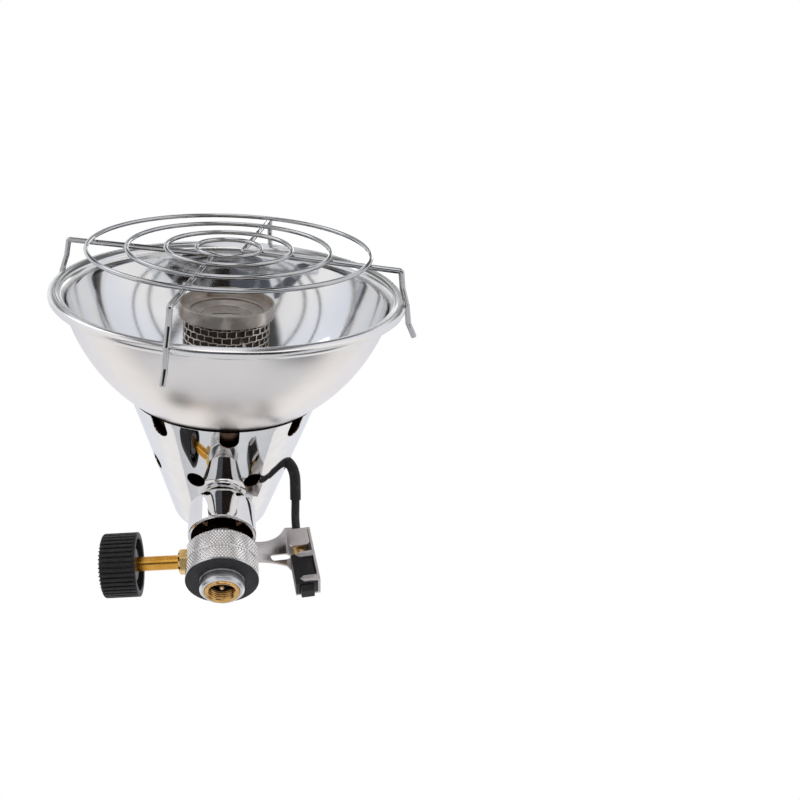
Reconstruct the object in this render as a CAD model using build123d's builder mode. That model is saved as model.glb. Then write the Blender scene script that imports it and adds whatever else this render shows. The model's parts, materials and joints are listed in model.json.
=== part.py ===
from build123d import *
import os
from math import atan2, cos, degrees, radians, sin, sqrt, tan

# Portable gas heater that screws onto a gas canister. Millimetres, +Z up along the canister
# and valve axis, origin where the wall of the canister thread starts above its chamfered mouth.
# The dish looks to the front (-Y) and the control knob points to -X.

# ---------------------------------------------------------------- driving dimensions
# canister connection
thread_bore_diameter = 10.4
thread_length = 5.0
thread_chamfer = 0.7
relief_diameter = 11.0
relief_length = 2.3
insert_diameter = 14.1
insert_length = 11.0
insert_proud = 0.7
collar_diameter = 18.2
collar_proud = 5.0
collar_lip = 1.0
collar_hold = 3.2
gasket_inset = 0.05
gasket_thickness = 0.5
gasket_round = 0.2
canister_seal_gap = 0.1
canister_seal_thickness = 2.0
canister_seal_chamfer = 0.5
pin_diameter = 2.6
pin_shoulder_diameter = 4.6
pin_length = 5.2
pin_shoulder_length = 1.6
pin_bore_diameter = 1.0
gas_passage_diameter = 2.0

# valve body
body_diameter = 30.0
body_height = 14.5
body_chamfer = 0.6
groove_width = 1.0
groove_depth = 0.5
groove_height = 6.4
knob_axis_height = 10.1
spot_face_diameter = 12.0
spot_face_reach = 14.0
gland_bore_diameter = 8.0
gland_bore_reach = 5.6
needle_chamber_diameter = 4.8
needle_chamber_reach = 2.6
needle_seat_diameter = 1.6
inlet_reach = 3.9

# spindle, gland nut and knob
gland_nut_flats = 9.4
gland_nut_corner_diameter = 10.4
gland_nut_thickness = 3.7
gland_spigot_length = 4.0
spindle_diameter = 5.9
spindle_clearance = 0.06
needle_diameter = 4.4
needle_tip_diameter = 1.2
needle_tip_length = 2.0
needle_tip_gap = 0.4
seal_cord_diameter = 1.2
seal_count = 2
seal_pitch = 1.9
seal_floor_gap = 0.3
knob_diameter = 26.4
knob_length = 14.7
knob_standoff = 19.1
knob_wall = 1.6
knob_cavity_depth = 9.5
knob_boss_diameter = 13.5
knob_boss_inset = 1.4
knob_round = 2.0
knob_rib_count = 40
knob_rib_depth = 0.9
knob_rib_gap = 1.0
dial_diameter = 21.8
dial_thickness = 0.9
dial_recess = 0.7
dial_round = 0.1
spindle_in_knob = 9.0
spindle_flat_depth = 1.2
spindle_flat_length = 6.0

# outlet neck, jet and air cup
bracket_thickness = 1.0
neck_diameter = 19.2
neck_height = 8.5
neck_round = 1.4
neck_taper = 3.0
outlet_diameter = 12.4
outlet_bore_diameter = 8.4
air_port_diameter = 4.4
air_port_count = 4
spigot_length = 3.0
spigot_clearance = 0.05
jet_diameter = 6.0
jet_length = 9.0
jet_flats = 7.0
jet_hex_length = 3.0
jet_orifice_diameter = 0.8
jet_tip_diameter = 2.4
neck_spigot_diameter = 8.0
neck_spigot_length = 1.4
cup_diameter = 28.9
cup_bottom_gap = 7.2
cup_wall = 1.0
cup_round = 3.6
cup_edge_round = 0.8
seat_gap = 0.1

# head: axis, cone and dish. Distances along the head axis count from its crossing with the
# stack axis
head_crossing_height = 72.2
head_tilt = 71.6
head_turn = 6.5
cone_front_radius = 41.2
cone_back = -28.3
cone_wall = 0.8
cone_round = 6.5
cone_opening_count = 8
cone_hole_diameter = 8.8
cone_hole_place = 5.7
notch_width = 8.0
notch_depth = 9.2
dish_wall = 0.8
dish_pole = 21.2
dish_length_radius = 73.8
dish_side_radius = 70.0
dish_floor = 24.0
dish_wall_end = 77.6
rim_flare = 3.62
rim_rise = 2.95
rim_bead_radius = 2.2

# mixing tube and its fastening
tube_diameter = 12.0
tube_wall = 1.2
tube_bend_radius = 16.0
tube_hole_clearance = 0.2
tube_flange_diameter = 17.0
tube_flange_thickness = 2.0
saddle_diameter = 20.0
saddle_height = 3.0
tube_nut_flats = 17.0
tube_nut_thickness = 4.0
tube_shoulder_diameter = 20.0
tube_shoulder_thickness = 2.2
tube_beyond_floor = 5.0

# burner
burner_floor_radius = 15.0
burner_radius = 19.6
burner_wall = 0.8
burner_flare = 4.0
burner_height = 9.5
burner_hub_radius = 9.5
burner_hub_height = 4.0
mesh_radius = 18.6
mesh_wall = 0.6
mesh_start = 30.0
cap_radius = 20.3
cap_wall = 0.8
cap_round = 0.2
cap_height = 5.6
cap_front = 75.6
cap_recess = 3.4
cap_mouth_radius = 15.6
spreader_radius = 16.6
spreader_wall = 0.6
spreader_depth = 1.8
spreader_flat_radius = 11.0
spreader_slit_length = 12.0
spreader_slit_width = 1.0

# ignition electrode
electrode_angle = -75.0
electrode_radius = 27.5
ceramic_diameter = 5.0
ceramic_round = 0.4
ceramic_back = 20.0
ceramic_front = 56.0
ceramic_clearance = 0.3
clip_place = 32.0
clip_thickness = 1.0
clip_width = 8.0
rod_diameter = 1.2
rod_bend_radius = 3.0
rod_front = 66.0
spark_gap = 2.2
rod_socket = 8.0

# grill
ring_radii = (57.7, 41.7, 25.8, 13.2)
ring_wire_diameter = 1.9
cross_wire_diameter = 2.3
wire_standoff = 15.85
grill_turn = -16.0
wire_leg_offset = 1.8
wire_elbow_radius = 4.0
prong_corner_inset = 1.05
prong_corner_bend = 1.8
prong_waist_inset = 1.45
prong_waist_rise = 7.55
prong_grip_gap = 0.35
prong_grip_rise = 1.75
prong_hook_flare = 2.85
prong_hook_drop = 7.05
prong_tip_flare = 6.75
prong_tip_drop = 11.65
prong_bend = 2.2
weld_gap = 0.02

# piezo igniter and its sheet bracket
bracket_ring_diameter = 19.2
tongue_width = 6.0
tongue_reach = 14.6
arm_turn = 36.0
arm_foot_reach = 10.5
arm_foot_height = 6.0
arm_start = 15.2
arm_root_height = 10.7
arm_end_rise = 4.9
arm_end_height = 20.4
arm_belly_reach = 8.8
arm_belly_rise = 4.0
arm_root_sweep = 6.3
arm_root_rise = 1.9
arm_end_sweep = 4.4
arm_end_drop = 8.9
arm_slot_height = 2.8
arm_slot_start = 24.4
arm_slot_length = 11.0
arm_slot_rise = 5.5
arm_slot_slope = 26.0
igniter_x = 34.4
igniter_y = 14.8
igniter_base = 10.0
igniter_lean = 5.5
igniter_width = 9.2
igniter_depth = 7.8
igniter_length = 15.0
igniter_round = 0.8
igniter_top_round = 0.4
cage_clearance = 0.1
cage_bottom = 0.3
cage_top = 27.6
plate_top = 35.3
plate_shoulder = 1.5
flap_width = 8.8
flap_height = 9.0
flap_corner = 1.2
claw_height = 2.6
claw_length = 8.3
claw_point = 1.6
claw_places = (0.3, 12.6)
terminal_diameter = 6.4
terminal_length = 6.0
terminal_chamfer = 0.6
button_width = 5.6
button_depth = 5.0
button_proud = 3.0
button_head_margin = 0.5
button_head_length = 7.0
button_clearance = 0.15
mouth_thickness = 0.8
chamber_roof = 1.8
spring_diameter = 3.6
spring_bore = 2.0

# ignition lead, with the point that its route bows through outside the cone
lead_diameter = 3.7
lead_rise = 11.8
lead_bow = (32.4, 6.0, 52.0)
lead_hole_clearance = 0.3
lead_outside_hole = 3.2
lead_inside_hole = 6.5
lead_inner_bow = (-42.0, 24.0, 8.0)
lead_straight_to_ceramic = 7.0
lead_arc_share = 0.45
sleeve_diameter = 4.8
sleeve_clearance = 0.05
sleeve_start_share = 0.5
sleeve_inside_hole = 2.5

# ---------------------------------------------------------------- heights up the stack
insert_bottom = -thread_chamfer
insert_top = insert_bottom + insert_length
thread_floor = thread_length + relief_length
collar_bottom = insert_bottom + insert_proud
gasket_bottom = collar_bottom + collar_proud
body_bottom = gasket_bottom + gasket_thickness
body_top = body_bottom + body_height
knob_height = body_bottom + knob_axis_height
neck_bottom = body_top + bracket_thickness
neck_top = neck_bottom + neck_height
cup_bottom = body_top + cup_bottom_gap

# ---------------------------------------------------------------- the head's own frame
turn = radians(head_turn)
tilt = radians(head_tilt)
side_direction = Vector(cos(turn), sin(turn), 0)
head_direction = Vector(sin(turn) * sin(tilt), -cos(turn) * sin(tilt), cos(tilt))
head_origin = Vector(0, 0, head_crossing_height)
head = Plane(origin=head_origin, x_dir=side_direction, z_dir=head_direction)
head_axis = Axis(head_origin, head_direction)
# profiles turned about the head axis are drawn with x outward and y along the axis
head_profile = Plane(
    origin=head_origin, x_dir=side_direction, z_dir=side_direction.cross(head_direction)
)
# the cone's lowest line lies level, so its half angle is what the tilt leaves
cone_half_angle = 90.0 - head_tilt
cone_slope = tan(radians(cone_half_angle))
cone_wall_across = cone_wall / cos(radians(cone_half_angle))
dish_centre = dish_pole + dish_length_radius
# the inner lip of the cone's mouth seats on the back of the dish
cone_lip_share = (cone_front_radius - cone_wall_across) / dish_side_radius
cone_front = dish_centre - dish_length_radius * sqrt(1 - cone_lip_share**2) - seat_gap


def outward(angle):
    """Unit vector square to the head axis; 0 degrees is to the side, -90 down to the stack."""
    return head.x_dir * cos(radians(angle)) + head.y_dir * sin(radians(angle))


def head_point(angle, radius, along):
    """Point at a radius from the head axis and a distance along it."""
    return head_origin + outward(angle) * radius + head_direction * along


def cone_radius(along):
    """Outer radius of the cone at a distance along the head axis."""
    return cone_front_radius - cone_slope * (cone_front - along)


def dish_radius(along, inset=0.0):
    """Radius of the dish's elliptical wall, drawn in by an inset."""
    share = (dish_centre - along) / (dish_length_radius - inset)
    return (dish_side_radius - inset) * sqrt(1 - share**2)


# the rolled rim stands on the end of the dish's wall and carries the grill
rim_radius = dish_radius(dish_wall_end) + rim_flare
rim_place = dish_wall_end + rim_rise
wire_place = rim_place + wire_standoff


def dish_angle(along, inset=0.0):
    """Angle on the wall's ellipse at a distance along the head axis, in degrees."""
    return degrees(
        atan2(
            (along - dish_centre) / (dish_length_radius - inset),
            dish_radius(along, inset) / (dish_side_radius - inset),
        )
    )


def cone_surface_plane(angle, along):
    """Plane lying on the cone, its y up the cone's line and its z out of the metal."""
    lean = radians(cone_half_angle)
    normal = outward(angle) * cos(lean) - head_direction * sin(lean)
    across = head_direction.cross(outward(angle))
    return Plane(
        origin=head_point(angle, cone_radius(along), along), x_dir=across, z_dir=normal
    )


# height at which the stack axis meets the underside of the cone
cone_underside = head_crossing_height - (cone_front_radius - cone_slope * cone_front) / (
    sin(tilt) + cone_slope * cos(tilt)
)
cup_top = cone_underside - seat_gap
cone_inside = cone_underside + cone_wall / cos(radians(cone_half_angle)) / sin(tilt)

os.makedirs("parts", exist_ok=True)


def finish(builder, label, color):
    """Label a finished piece and write its file."""
    builder.part.label = label
    builder.part.color = Color(color)
    export_step(builder.part, f"parts/{label}.step")


# ---------------------------------------------------------------- canister connection
with BuildPart() as thread_insert:
    with BuildSketch(Plane.XY.offset(insert_bottom)):
        Circle(insert_diameter / 2)
    extrude(amount=insert_length)
    with BuildSketch(Plane.XY.offset(insert_bottom)):
        Circle(thread_bore_diameter / 2)
    extrude(amount=thread_length - insert_bottom, mode=Mode.SUBTRACT)
    # wider relief above the thread, for the seal
    with BuildSketch(Plane.XY.offset(thread_length)):
        Circle(relief_diameter / 2)
    extrude(amount=relief_length, mode=Mode.SUBTRACT)
    with BuildSketch(Plane.XY.offset(thread_floor)):
        Circle(pin_diameter / 2)
    extrude(amount=insert_length, mode=Mode.SUBTRACT)
    with BuildSketch(Plane.XY.offset(insert_top - pin_shoulder_length)):
        Circle(pin_shoulder_diameter / 2)
    extrude(amount=insert_length, mode=Mode.SUBTRACT)
    mouth_edge = thread_insert.edges().filter_by(GeomType.CIRCLE).group_by(Axis.Z)[0]
    chamfer(mouth_edge.sort_by(SortBy.RADIUS)[0], length=thread_chamfer)
finish(thread_insert, "thread_insert", "gold")

with BuildPart() as depressor_pin:
    with BuildSketch(Plane.XY.offset(insert_top - pin_length)):
        Circle(pin_diameter / 2 - spigot_clearance)
    extrude(amount=pin_length)
    with BuildSketch(Plane.XY.offset(insert_top - pin_shoulder_length)):
        Circle(pin_shoulder_diameter / 2 - spigot_clearance)
    extrude(amount=pin_shoulder_length)
    with BuildSketch(Plane.XY.offset(insert_top - pin_length)):
        Circle(pin_bore_diameter / 2)
    extrude(amount=pin_length, mode=Mode.SUBTRACT)
finish(depressor_pin, "depressor_pin", "gold")

with BuildPart() as canister_seal:
    with BuildSketch(Plane.XY.offset(thread_floor - canister_seal_thickness)):
        Circle(relief_diameter / 2 - canister_seal_gap)
        Circle(pin_diameter / 2 + spigot_clearance, mode=Mode.SUBTRACT)
    extrude(amount=canister_seal_thickness)
    seal_mouth = canister_seal.edges().filter_by(GeomType.CIRCLE).group_by(Axis.Z)[0]
    chamfer(seal_mouth.sort_by(SortBy.RADIUS)[-1], length=canister_seal_chamfer)
finish(canister_seal, "canister_seal", "black")

collar_top = body_bottom + collar_hold
with BuildPart() as canister_collar:
    with BuildSketch(Plane.XY.offset(collar_bottom)):
        Circle(collar_diameter / 2)
        Circle(insert_diameter / 2, mode=Mode.SUBTRACT)
    extrude(amount=collar_top - collar_bottom)
    collar_mouth = canister_collar.edges().filter_by(GeomType.CIRCLE).group_by(Axis.Z)[0]
    chamfer(collar_mouth, length=collar_lip)
finish(canister_collar, "canister_collar", "silver")

with BuildPart() as canister_gasket:
    with BuildSketch(Plane.XY.offset(gasket_bottom)):
        Circle(body_diameter / 2 - gasket_inset)
        Circle(collar_diameter / 2, mode=Mode.SUBTRACT)
    extrude(amount=gasket_thickness)
    gasket_rim = canister_gasket.edges().filter_by(GeomType.CIRCLE).group_by(Axis.Z)[0]
    fillet(gasket_rim.sort_by(SortBy.RADIUS)[-1], radius=gasket_round)
finish(canister_gasket, "canister_gasket", "black")

# ---------------------------------------------------------------- valve body
# planes square to the knob axis, their z pointing out to the knob
def knob_plane(reach):
    """Plane square to the knob axis at a reach from the stack axis."""
    return Plane(origin=(-reach, 0, knob_height), x_dir=(0, 1, 0), z_dir=(-1, 0, 0))


with BuildPart() as valve_body:
    with BuildSketch(Plane.XY.offset(body_bottom)):
        Circle(body_diameter / 2)
    extrude(amount=body_height)
    chamfer(valve_body.edges().filter_by(GeomType.CIRCLE), length=body_chamfer)
    with BuildSketch(Plane.XY.offset(body_bottom + groove_height)):
        Circle(body_diameter / 2)
        Circle(body_diameter / 2 - groove_depth, mode=Mode.SUBTRACT)
    extrude(amount=groove_width, mode=Mode.SUBTRACT)
    with BuildSketch(Plane.XY.offset(body_bottom)):
        Circle(collar_diameter / 2)
    extrude(amount=collar_hold, mode=Mode.SUBTRACT)
    with BuildSketch(Plane.XY.offset(body_bottom)):
        Circle(insert_diameter / 2)
    extrude(amount=insert_top - body_bottom, mode=Mode.SUBTRACT)
    # flat for the gland nut, bore for its spigot and chamber for the needle
    with BuildSketch(knob_plane(spot_face_reach)):
        Circle(spot_face_diameter / 2)
    extrude(amount=body_diameter, mode=Mode.SUBTRACT)
    with BuildSketch(knob_plane(gland_bore_reach)):
        Circle(gland_bore_diameter / 2)
    extrude(amount=body_diameter, mode=Mode.SUBTRACT)
    with BuildSketch(knob_plane(needle_chamber_reach)):
        Circle(needle_chamber_diameter / 2)
    extrude(amount=body_diameter, mode=Mode.SUBTRACT)
    # gas enters the chamber beside the needle and leaves past its tip, up the middle
    with BuildSketch(Plane.XY.offset(insert_top)):
        with Locations((-inlet_reach, 0)):
            Circle(gas_passage_diameter / 2)
    extrude(amount=knob_height - insert_top, mode=Mode.SUBTRACT)
    with BuildSketch(knob_plane(0)):
        Circle(needle_seat_diameter / 2)
    extrude(amount=needle_chamber_reach, mode=Mode.SUBTRACT)
    with BuildSketch(Plane.XY.offset(knob_height)):
        Circle(gas_passage_diameter / 2)
    extrude(amount=body_height, mode=Mode.SUBTRACT)
    with BuildSketch(Plane.XY.offset(body_top - neck_spigot_length)):
        Circle(neck_spigot_diameter / 2)
    extrude(amount=neck_spigot_length, mode=Mode.SUBTRACT)
finish(valve_body, "valve_body", "silver")

# ---------------------------------------------------------------- spindle, gland nut and knob
knob_back = body_diameter / 2 + knob_standoff
knob_front = knob_back + knob_length
spindle_bore_radius = spindle_diameter / 2 + spindle_clearance
gland_inner_reach = spot_face_reach - gland_spigot_length
gland_outer_reach = spot_face_reach + gland_nut_thickness

with BuildPart() as gland_nut:
    with BuildSketch(knob_plane(spot_face_reach)):
        RegularPolygon(radius=gland_nut_flats / 2, side_count=6, major_radius=False)
    extrude(amount=gland_nut_thickness)
    # the hexagon's corners are turned down
    with BuildSketch(knob_plane(spot_face_reach)):
        Circle(gland_nut_corner_diameter / 2)
    extrude(amount=gland_nut_thickness, mode=Mode.INTERSECT)
    with BuildSketch(knob_plane(gland_inner_reach)):
        Circle(gland_bore_diameter / 2)
    extrude(amount=gland_spigot_length)
    with BuildSketch(knob_plane(gland_inner_reach)):
        Circle(spindle_bore_radius)
    extrude(amount=gland_outer_reach - gland_inner_reach, mode=Mode.SUBTRACT)
finish(gland_nut, "gland_nut", "gold")

needle_end = needle_chamber_reach + needle_tip_gap
spindle_outer_reach = knob_back + spindle_in_knob
with BuildPart() as valve_spindle:
    with BuildSketch(knob_plane(needle_end + needle_tip_length)):
        Circle(needle_diameter / 2)
    extrude(amount=spindle_outer_reach - needle_end - needle_tip_length)
    with BuildSketch(knob_plane(gland_inner_reach)):
        Circle(spindle_diameter / 2)
    extrude(amount=spindle_outer_reach - gland_inner_reach)
    # conical needle tip
    with BuildSketch(knob_plane(needle_end + needle_tip_length)):
        Circle(needle_diameter / 2)
    with BuildSketch(knob_plane(needle_end)):
        Circle(needle_tip_diameter / 2)
    loft()
    # flat that keys the knob
    with BuildSketch(knob_plane(spindle_outer_reach - spindle_flat_length)):
        with Locations((0, spindle_diameter / 2)):
            Rectangle(spindle_diameter, spindle_flat_depth * 2)
    extrude(amount=spindle_flat_length, mode=Mode.SUBTRACT)
finish(valve_spindle, "valve_spindle", "gold")

# rubber seals side by side on the needle, between the body and the gland nut's spigot
seal_inner_radius = needle_diameter / 2 + spigot_clearance
with BuildPart() as spindle_seals:
    for seal in range(seal_count):
        with BuildSketch(knob_plane(gland_bore_reach + seal_floor_gap + seal * seal_pitch)):
            Circle(gland_bore_diameter / 2 - spigot_clearance)
            Circle(seal_inner_radius, mode=Mode.SUBTRACT)
        extrude(amount=seal_cord_diameter)
finish(spindle_seals, "spindle_seals", "black")

knob_radius = knob_diameter / 2
cavity_radius = knob_radius - knob_rib_depth - knob_wall
with BuildPart() as knob:
    with BuildSketch(knob_plane(knob_back)):
        Circle(knob_radius)
    extrude(amount=knob_length)
    front_edge = knob.faces().sort_by(Axis.X)[0].edges()
    fillet(front_edge, radius=knob_round)
    # grooves between the ribs run the whole length
    with BuildSketch(knob_plane(knob_back)):
        with PolarLocations(knob_radius, knob_rib_count):
            Rectangle(knob_rib_depth * 2, knob_rib_gap)
    extrude(amount=knob_length, mode=Mode.SUBTRACT)
    # hollow back round the boss that takes the spindle
    with BuildSketch(knob_plane(knob_back)):
        Circle(cavity_radius)
        Circle(knob_boss_diameter / 2, mode=Mode.SUBTRACT)
    extrude(amount=knob_cavity_depth, mode=Mode.SUBTRACT)
    with BuildSketch(knob_plane(knob_back)):
        Circle(knob_boss_diameter / 2)
    extrude(amount=knob_boss_inset, mode=Mode.SUBTRACT)
    with BuildSketch(knob_plane(knob_back)):
        Circle(spindle_bore_radius)
    extrude(amount=spindle_in_knob, mode=Mode.SUBTRACT)
    with BuildSketch(knob_plane(spindle_outer_reach - spindle_flat_length)):
        with Locations((0, spindle_diameter / 2 + spindle_clearance)):
            Rectangle(spindle_diameter, spindle_flat_depth * 2)
    extrude(amount=spindle_flat_length)
    # shallow seat for the dial
    with BuildSketch(knob_plane(knob_front - dial_recess)):
        Circle(dial_diameter / 2)
    extrude(amount=dial_recess, mode=Mode.SUBTRACT)
finish(knob, "knob", "gray15")

with BuildPart() as knob_dial:
    with BuildSketch(knob_plane(knob_front - dial_recess)):
        Circle(dial_diameter / 2)
    extrude(amount=dial_thickness)
    fillet(knob_dial.faces().sort_by(Axis.X)[0].edges(), radius=dial_round)
finish(knob_dial, "knob_dial", "white")

# ---------------------------------------------------------------- outlet neck, jet and air cup
tube_bore_radius = tube_diameter / 2 - tube_wall
flange_bottom = cup_top - cup_wall - tube_flange_thickness
outlet_top = flange_bottom + spigot_length
jet_bottom = neck_bottom + neck_height - jet_length / 2
with BuildPart() as outlet_neck:
    with BuildSketch(Plane.XY.offset(neck_bottom)):
        Circle(neck_diameter / 2)
    extrude(amount=neck_height)
    fillet(outlet_neck.edges().filter_by(GeomType.CIRCLE).group_by(Axis.Z)[0], radius=neck_round)
    chamfer(
        outlet_neck.edges().filter_by(GeomType.CIRCLE).group_by(Axis.Z)[-1],
        length=neck_taper,
    )
    with BuildSketch(Plane.XY.offset(neck_top)):
        Circle(outlet_diameter / 2)
    extrude(amount=flange_bottom - neck_top)
    with BuildSketch(Plane.XY.offset(flange_bottom)):
        Circle(tube_bore_radius - spigot_clearance)
    extrude(amount=spigot_length)
    with BuildSketch(Plane.XY.offset(jet_bottom)):
        Circle(jet_diameter / 2)
    extrude(amount=outlet_top - jet_bottom, mode=Mode.SUBTRACT)
    with BuildSketch(Plane.XY.offset(jet_bottom + jet_hex_length)):
        Circle(outlet_bore_diameter / 2)
    extrude(amount=outlet_top - jet_bottom, mode=Mode.SUBTRACT)
    with BuildSketch(Plane.XY.offset(neck_bottom)):
        Circle(gas_passage_diameter / 2)
    extrude(amount=neck_height, mode=Mode.SUBTRACT)
    # spigot down through the bracket's ring into the body
    with BuildSketch(Plane.XY.offset(body_top - neck_spigot_length)):
        Circle(neck_spigot_diameter / 2)
        Circle(gas_passage_diameter / 2, mode=Mode.SUBTRACT)
    extrude(amount=neck_spigot_length + bracket_thickness)
    # air ports all round, just above the jet's tip
    air_port_height = (jet_bottom + jet_length + flange_bottom) / 2
    for port in range(air_port_count):
        port_angle = radians(port * 360 / air_port_count)
        port_direction = (cos(port_angle), sin(port_angle), 0)
        with BuildSketch(Plane(origin=(0, 0, air_port_height), z_dir=port_direction)):
            Circle(air_port_diameter / 2)
        extrude(amount=outlet_diameter, mode=Mode.SUBTRACT)
finish(outlet_neck, "outlet_neck", "lightgray")

jet_hex_top = jet_bottom + 2 * jet_hex_length
with BuildPart() as gas_jet:
    with BuildSketch(Plane.XY.offset(jet_bottom)):
        Circle(jet_diameter / 2)
    extrude(amount=jet_hex_length)
    with BuildSketch(Plane.XY.offset(jet_bottom + jet_hex_length)):
        RegularPolygon(radius=jet_flats / 2, side_count=6, major_radius=False)
    extrude(amount=jet_hex_length)
    with BuildSketch(Plane.XY.offset(jet_hex_top)):
        Circle(jet_diameter / 2)
    with BuildSketch(Plane.XY.offset(jet_bottom + jet_length)):
        Circle(jet_tip_diameter / 2)
    loft()
    with BuildSketch(Plane.XY.offset(jet_bottom)):
        Circle(jet_orifice_diameter / 2)
    extrude(amount=jet_length, mode=Mode.SUBTRACT)
finish(gas_jet, "gas_jet", "gold")

with BuildPart() as joint_cup:
    with BuildSketch(Plane.XY.offset(cup_bottom)):
        Circle(cup_diameter / 2)
    extrude(amount=cup_top - cup_bottom)
    fillet(joint_cup.faces().sort_by(Axis.Z)[-1].edges(), radius=cup_round)
    offset(amount=-cup_wall, openings=joint_cup.faces().sort_by(Axis.Z)[0])
    with BuildSketch(Plane.XY.offset(cup_bottom)):
        Circle(tube_diameter / 2 + spigot_clearance)
    extrude(amount=cup_top - cup_bottom, mode=Mode.SUBTRACT)
    cup_edge = joint_cup.edges().filter_by(GeomType.CIRCLE).group_by(Axis.Z)[0]
    fillet(cup_edge.sort_by(SortBy.RADIUS)[-1], radius=cup_edge_round)
finish(joint_cup, "joint_cup", "lightgray")

# ---------------------------------------------------------------- mixing tube and its fastening
tube_end = dish_floor + dish_wall + tube_beyond_floor
with BuildPart() as mixing_tube:
    with BuildLine() as tube_route:
        FilletPolyline(
            (0, 0, flange_bottom),
            head_origin,
            head_point(0, 0, tube_end),
            radius=tube_bend_radius,
        )
    with BuildSketch(Plane.XY.offset(flange_bottom)):
        Circle(tube_diameter / 2)
        Circle(tube_bore_radius, mode=Mode.SUBTRACT)
    sweep(path=tube_route.line)
    # flange that pulls the cup up against the cone
    with BuildSketch(Plane.XY.offset(flange_bottom)):
        Circle(tube_flange_diameter / 2)
        Circle(tube_bore_radius, mode=Mode.SUBTRACT)
    extrude(amount=tube_flange_thickness)
    # shoulder that the dish is clamped against
    with BuildSketch(head.offset(dish_floor - tube_shoulder_thickness)):
        Circle(tube_shoulder_diameter / 2)
        Circle(tube_bore_radius, mode=Mode.SUBTRACT)
    extrude(amount=tube_shoulder_thickness)
finish(mixing_tube, "mixing_tube", "lightgray")

cone_back_radius = cone_radius(cone_back)
cone_floor = cone_back + cone_wall
cone_floor_radius = cone_radius(cone_floor) - cone_wall_across


def cone_inside_sketch(inset):
    """Half section of the space inside the cone, drawn in by an inset."""
    with BuildSketch(head_profile) as space:
        Polygon(
            (0, cone_floor + inset),
            (cone_floor_radius - inset, cone_floor + inset),
            (cone_front_radius - cone_wall_across - inset, cone_front),
            (0, cone_front),
            align=None,
        )
        corner = space.vertices().sort_by_distance(
            head_point(0, cone_floor_radius, cone_floor)
        )[0]
        fillet(corner, radius=cone_round - cone_wall)
    return space.sketch


with BuildPart() as rear_cone:
    with BuildSketch(head_profile) as cone_outline:
        Polygon(
            (0, cone_back),
            (cone_back_radius, cone_back),
            (cone_front_radius, cone_front),
            (0, cone_front),
            align=None,
        )
        back_corner = cone_outline.vertices().sort_by_distance(
            head_point(0, cone_back_radius, cone_back)
        )[0]
        fillet(back_corner, radius=cone_round)
    revolve(axis=head_axis)
    revolve(cone_inside_sketch(0), axis=head_axis, mode=Mode.SUBTRACT)
    opening_step = 360 / cone_opening_count
    for opening in range(cone_opening_count):
        # notches in the front edge, one of them over the stack
        notch_angle = -90 + opening * opening_step
        with BuildSketch(cone_surface_plane(notch_angle, cone_front)):
            with Locations((0, notch_width / 2 - notch_depth)):
                Circle(notch_width / 2)
            with Locations((0, notch_width / 2 - notch_depth / 2)):
                Rectangle(notch_width, notch_depth)
        extrude(amount=cone_wall * 3, both=True, mode=Mode.SUBTRACT)
        # round holes midway between the notches
        hole_angle = notch_angle + opening_step / 2
        with BuildSketch(cone_surface_plane(hole_angle, cone_hole_place)):
            Circle(cone_hole_diameter / 2)
        extrude(amount=cone_wall * 3, both=True, mode=Mode.SUBTRACT)
    # hole for the mixing tube
    with BuildSketch(Plane.XY.offset(cup_top)):
        Circle(tube_diameter / 2 + tube_hole_clearance)
    extrude(amount=cone_round, mode=Mode.SUBTRACT)
finish(rear_cone, "rear_cone", "silver")

with BuildPart() as tube_saddle:
    with BuildSketch(Plane.XY.offset(cup_top)):
        Circle(saddle_diameter / 2)
        Circle(tube_diameter / 2 + spigot_clearance, mode=Mode.SUBTRACT)
    extrude(amount=cone_inside + saddle_height - cup_top)
    revolve(cone_inside_sketch(seat_gap), axis=head_axis, mode=Mode.INTERSECT)
finish(tube_saddle, "tube_saddle", "gray")

with BuildPart() as tube_nut:
    with BuildSketch(Plane.XY.offset(cone_inside + saddle_height)):
        RegularPolygon(radius=tube_nut_flats / 2, side_count=6, major_radius=False)
        Circle(tube_diameter / 2 + spigot_clearance, mode=Mode.SUBTRACT)
    extrude(amount=tube_nut_thickness)
finish(tube_nut, "tube_nut", "gray")

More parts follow.
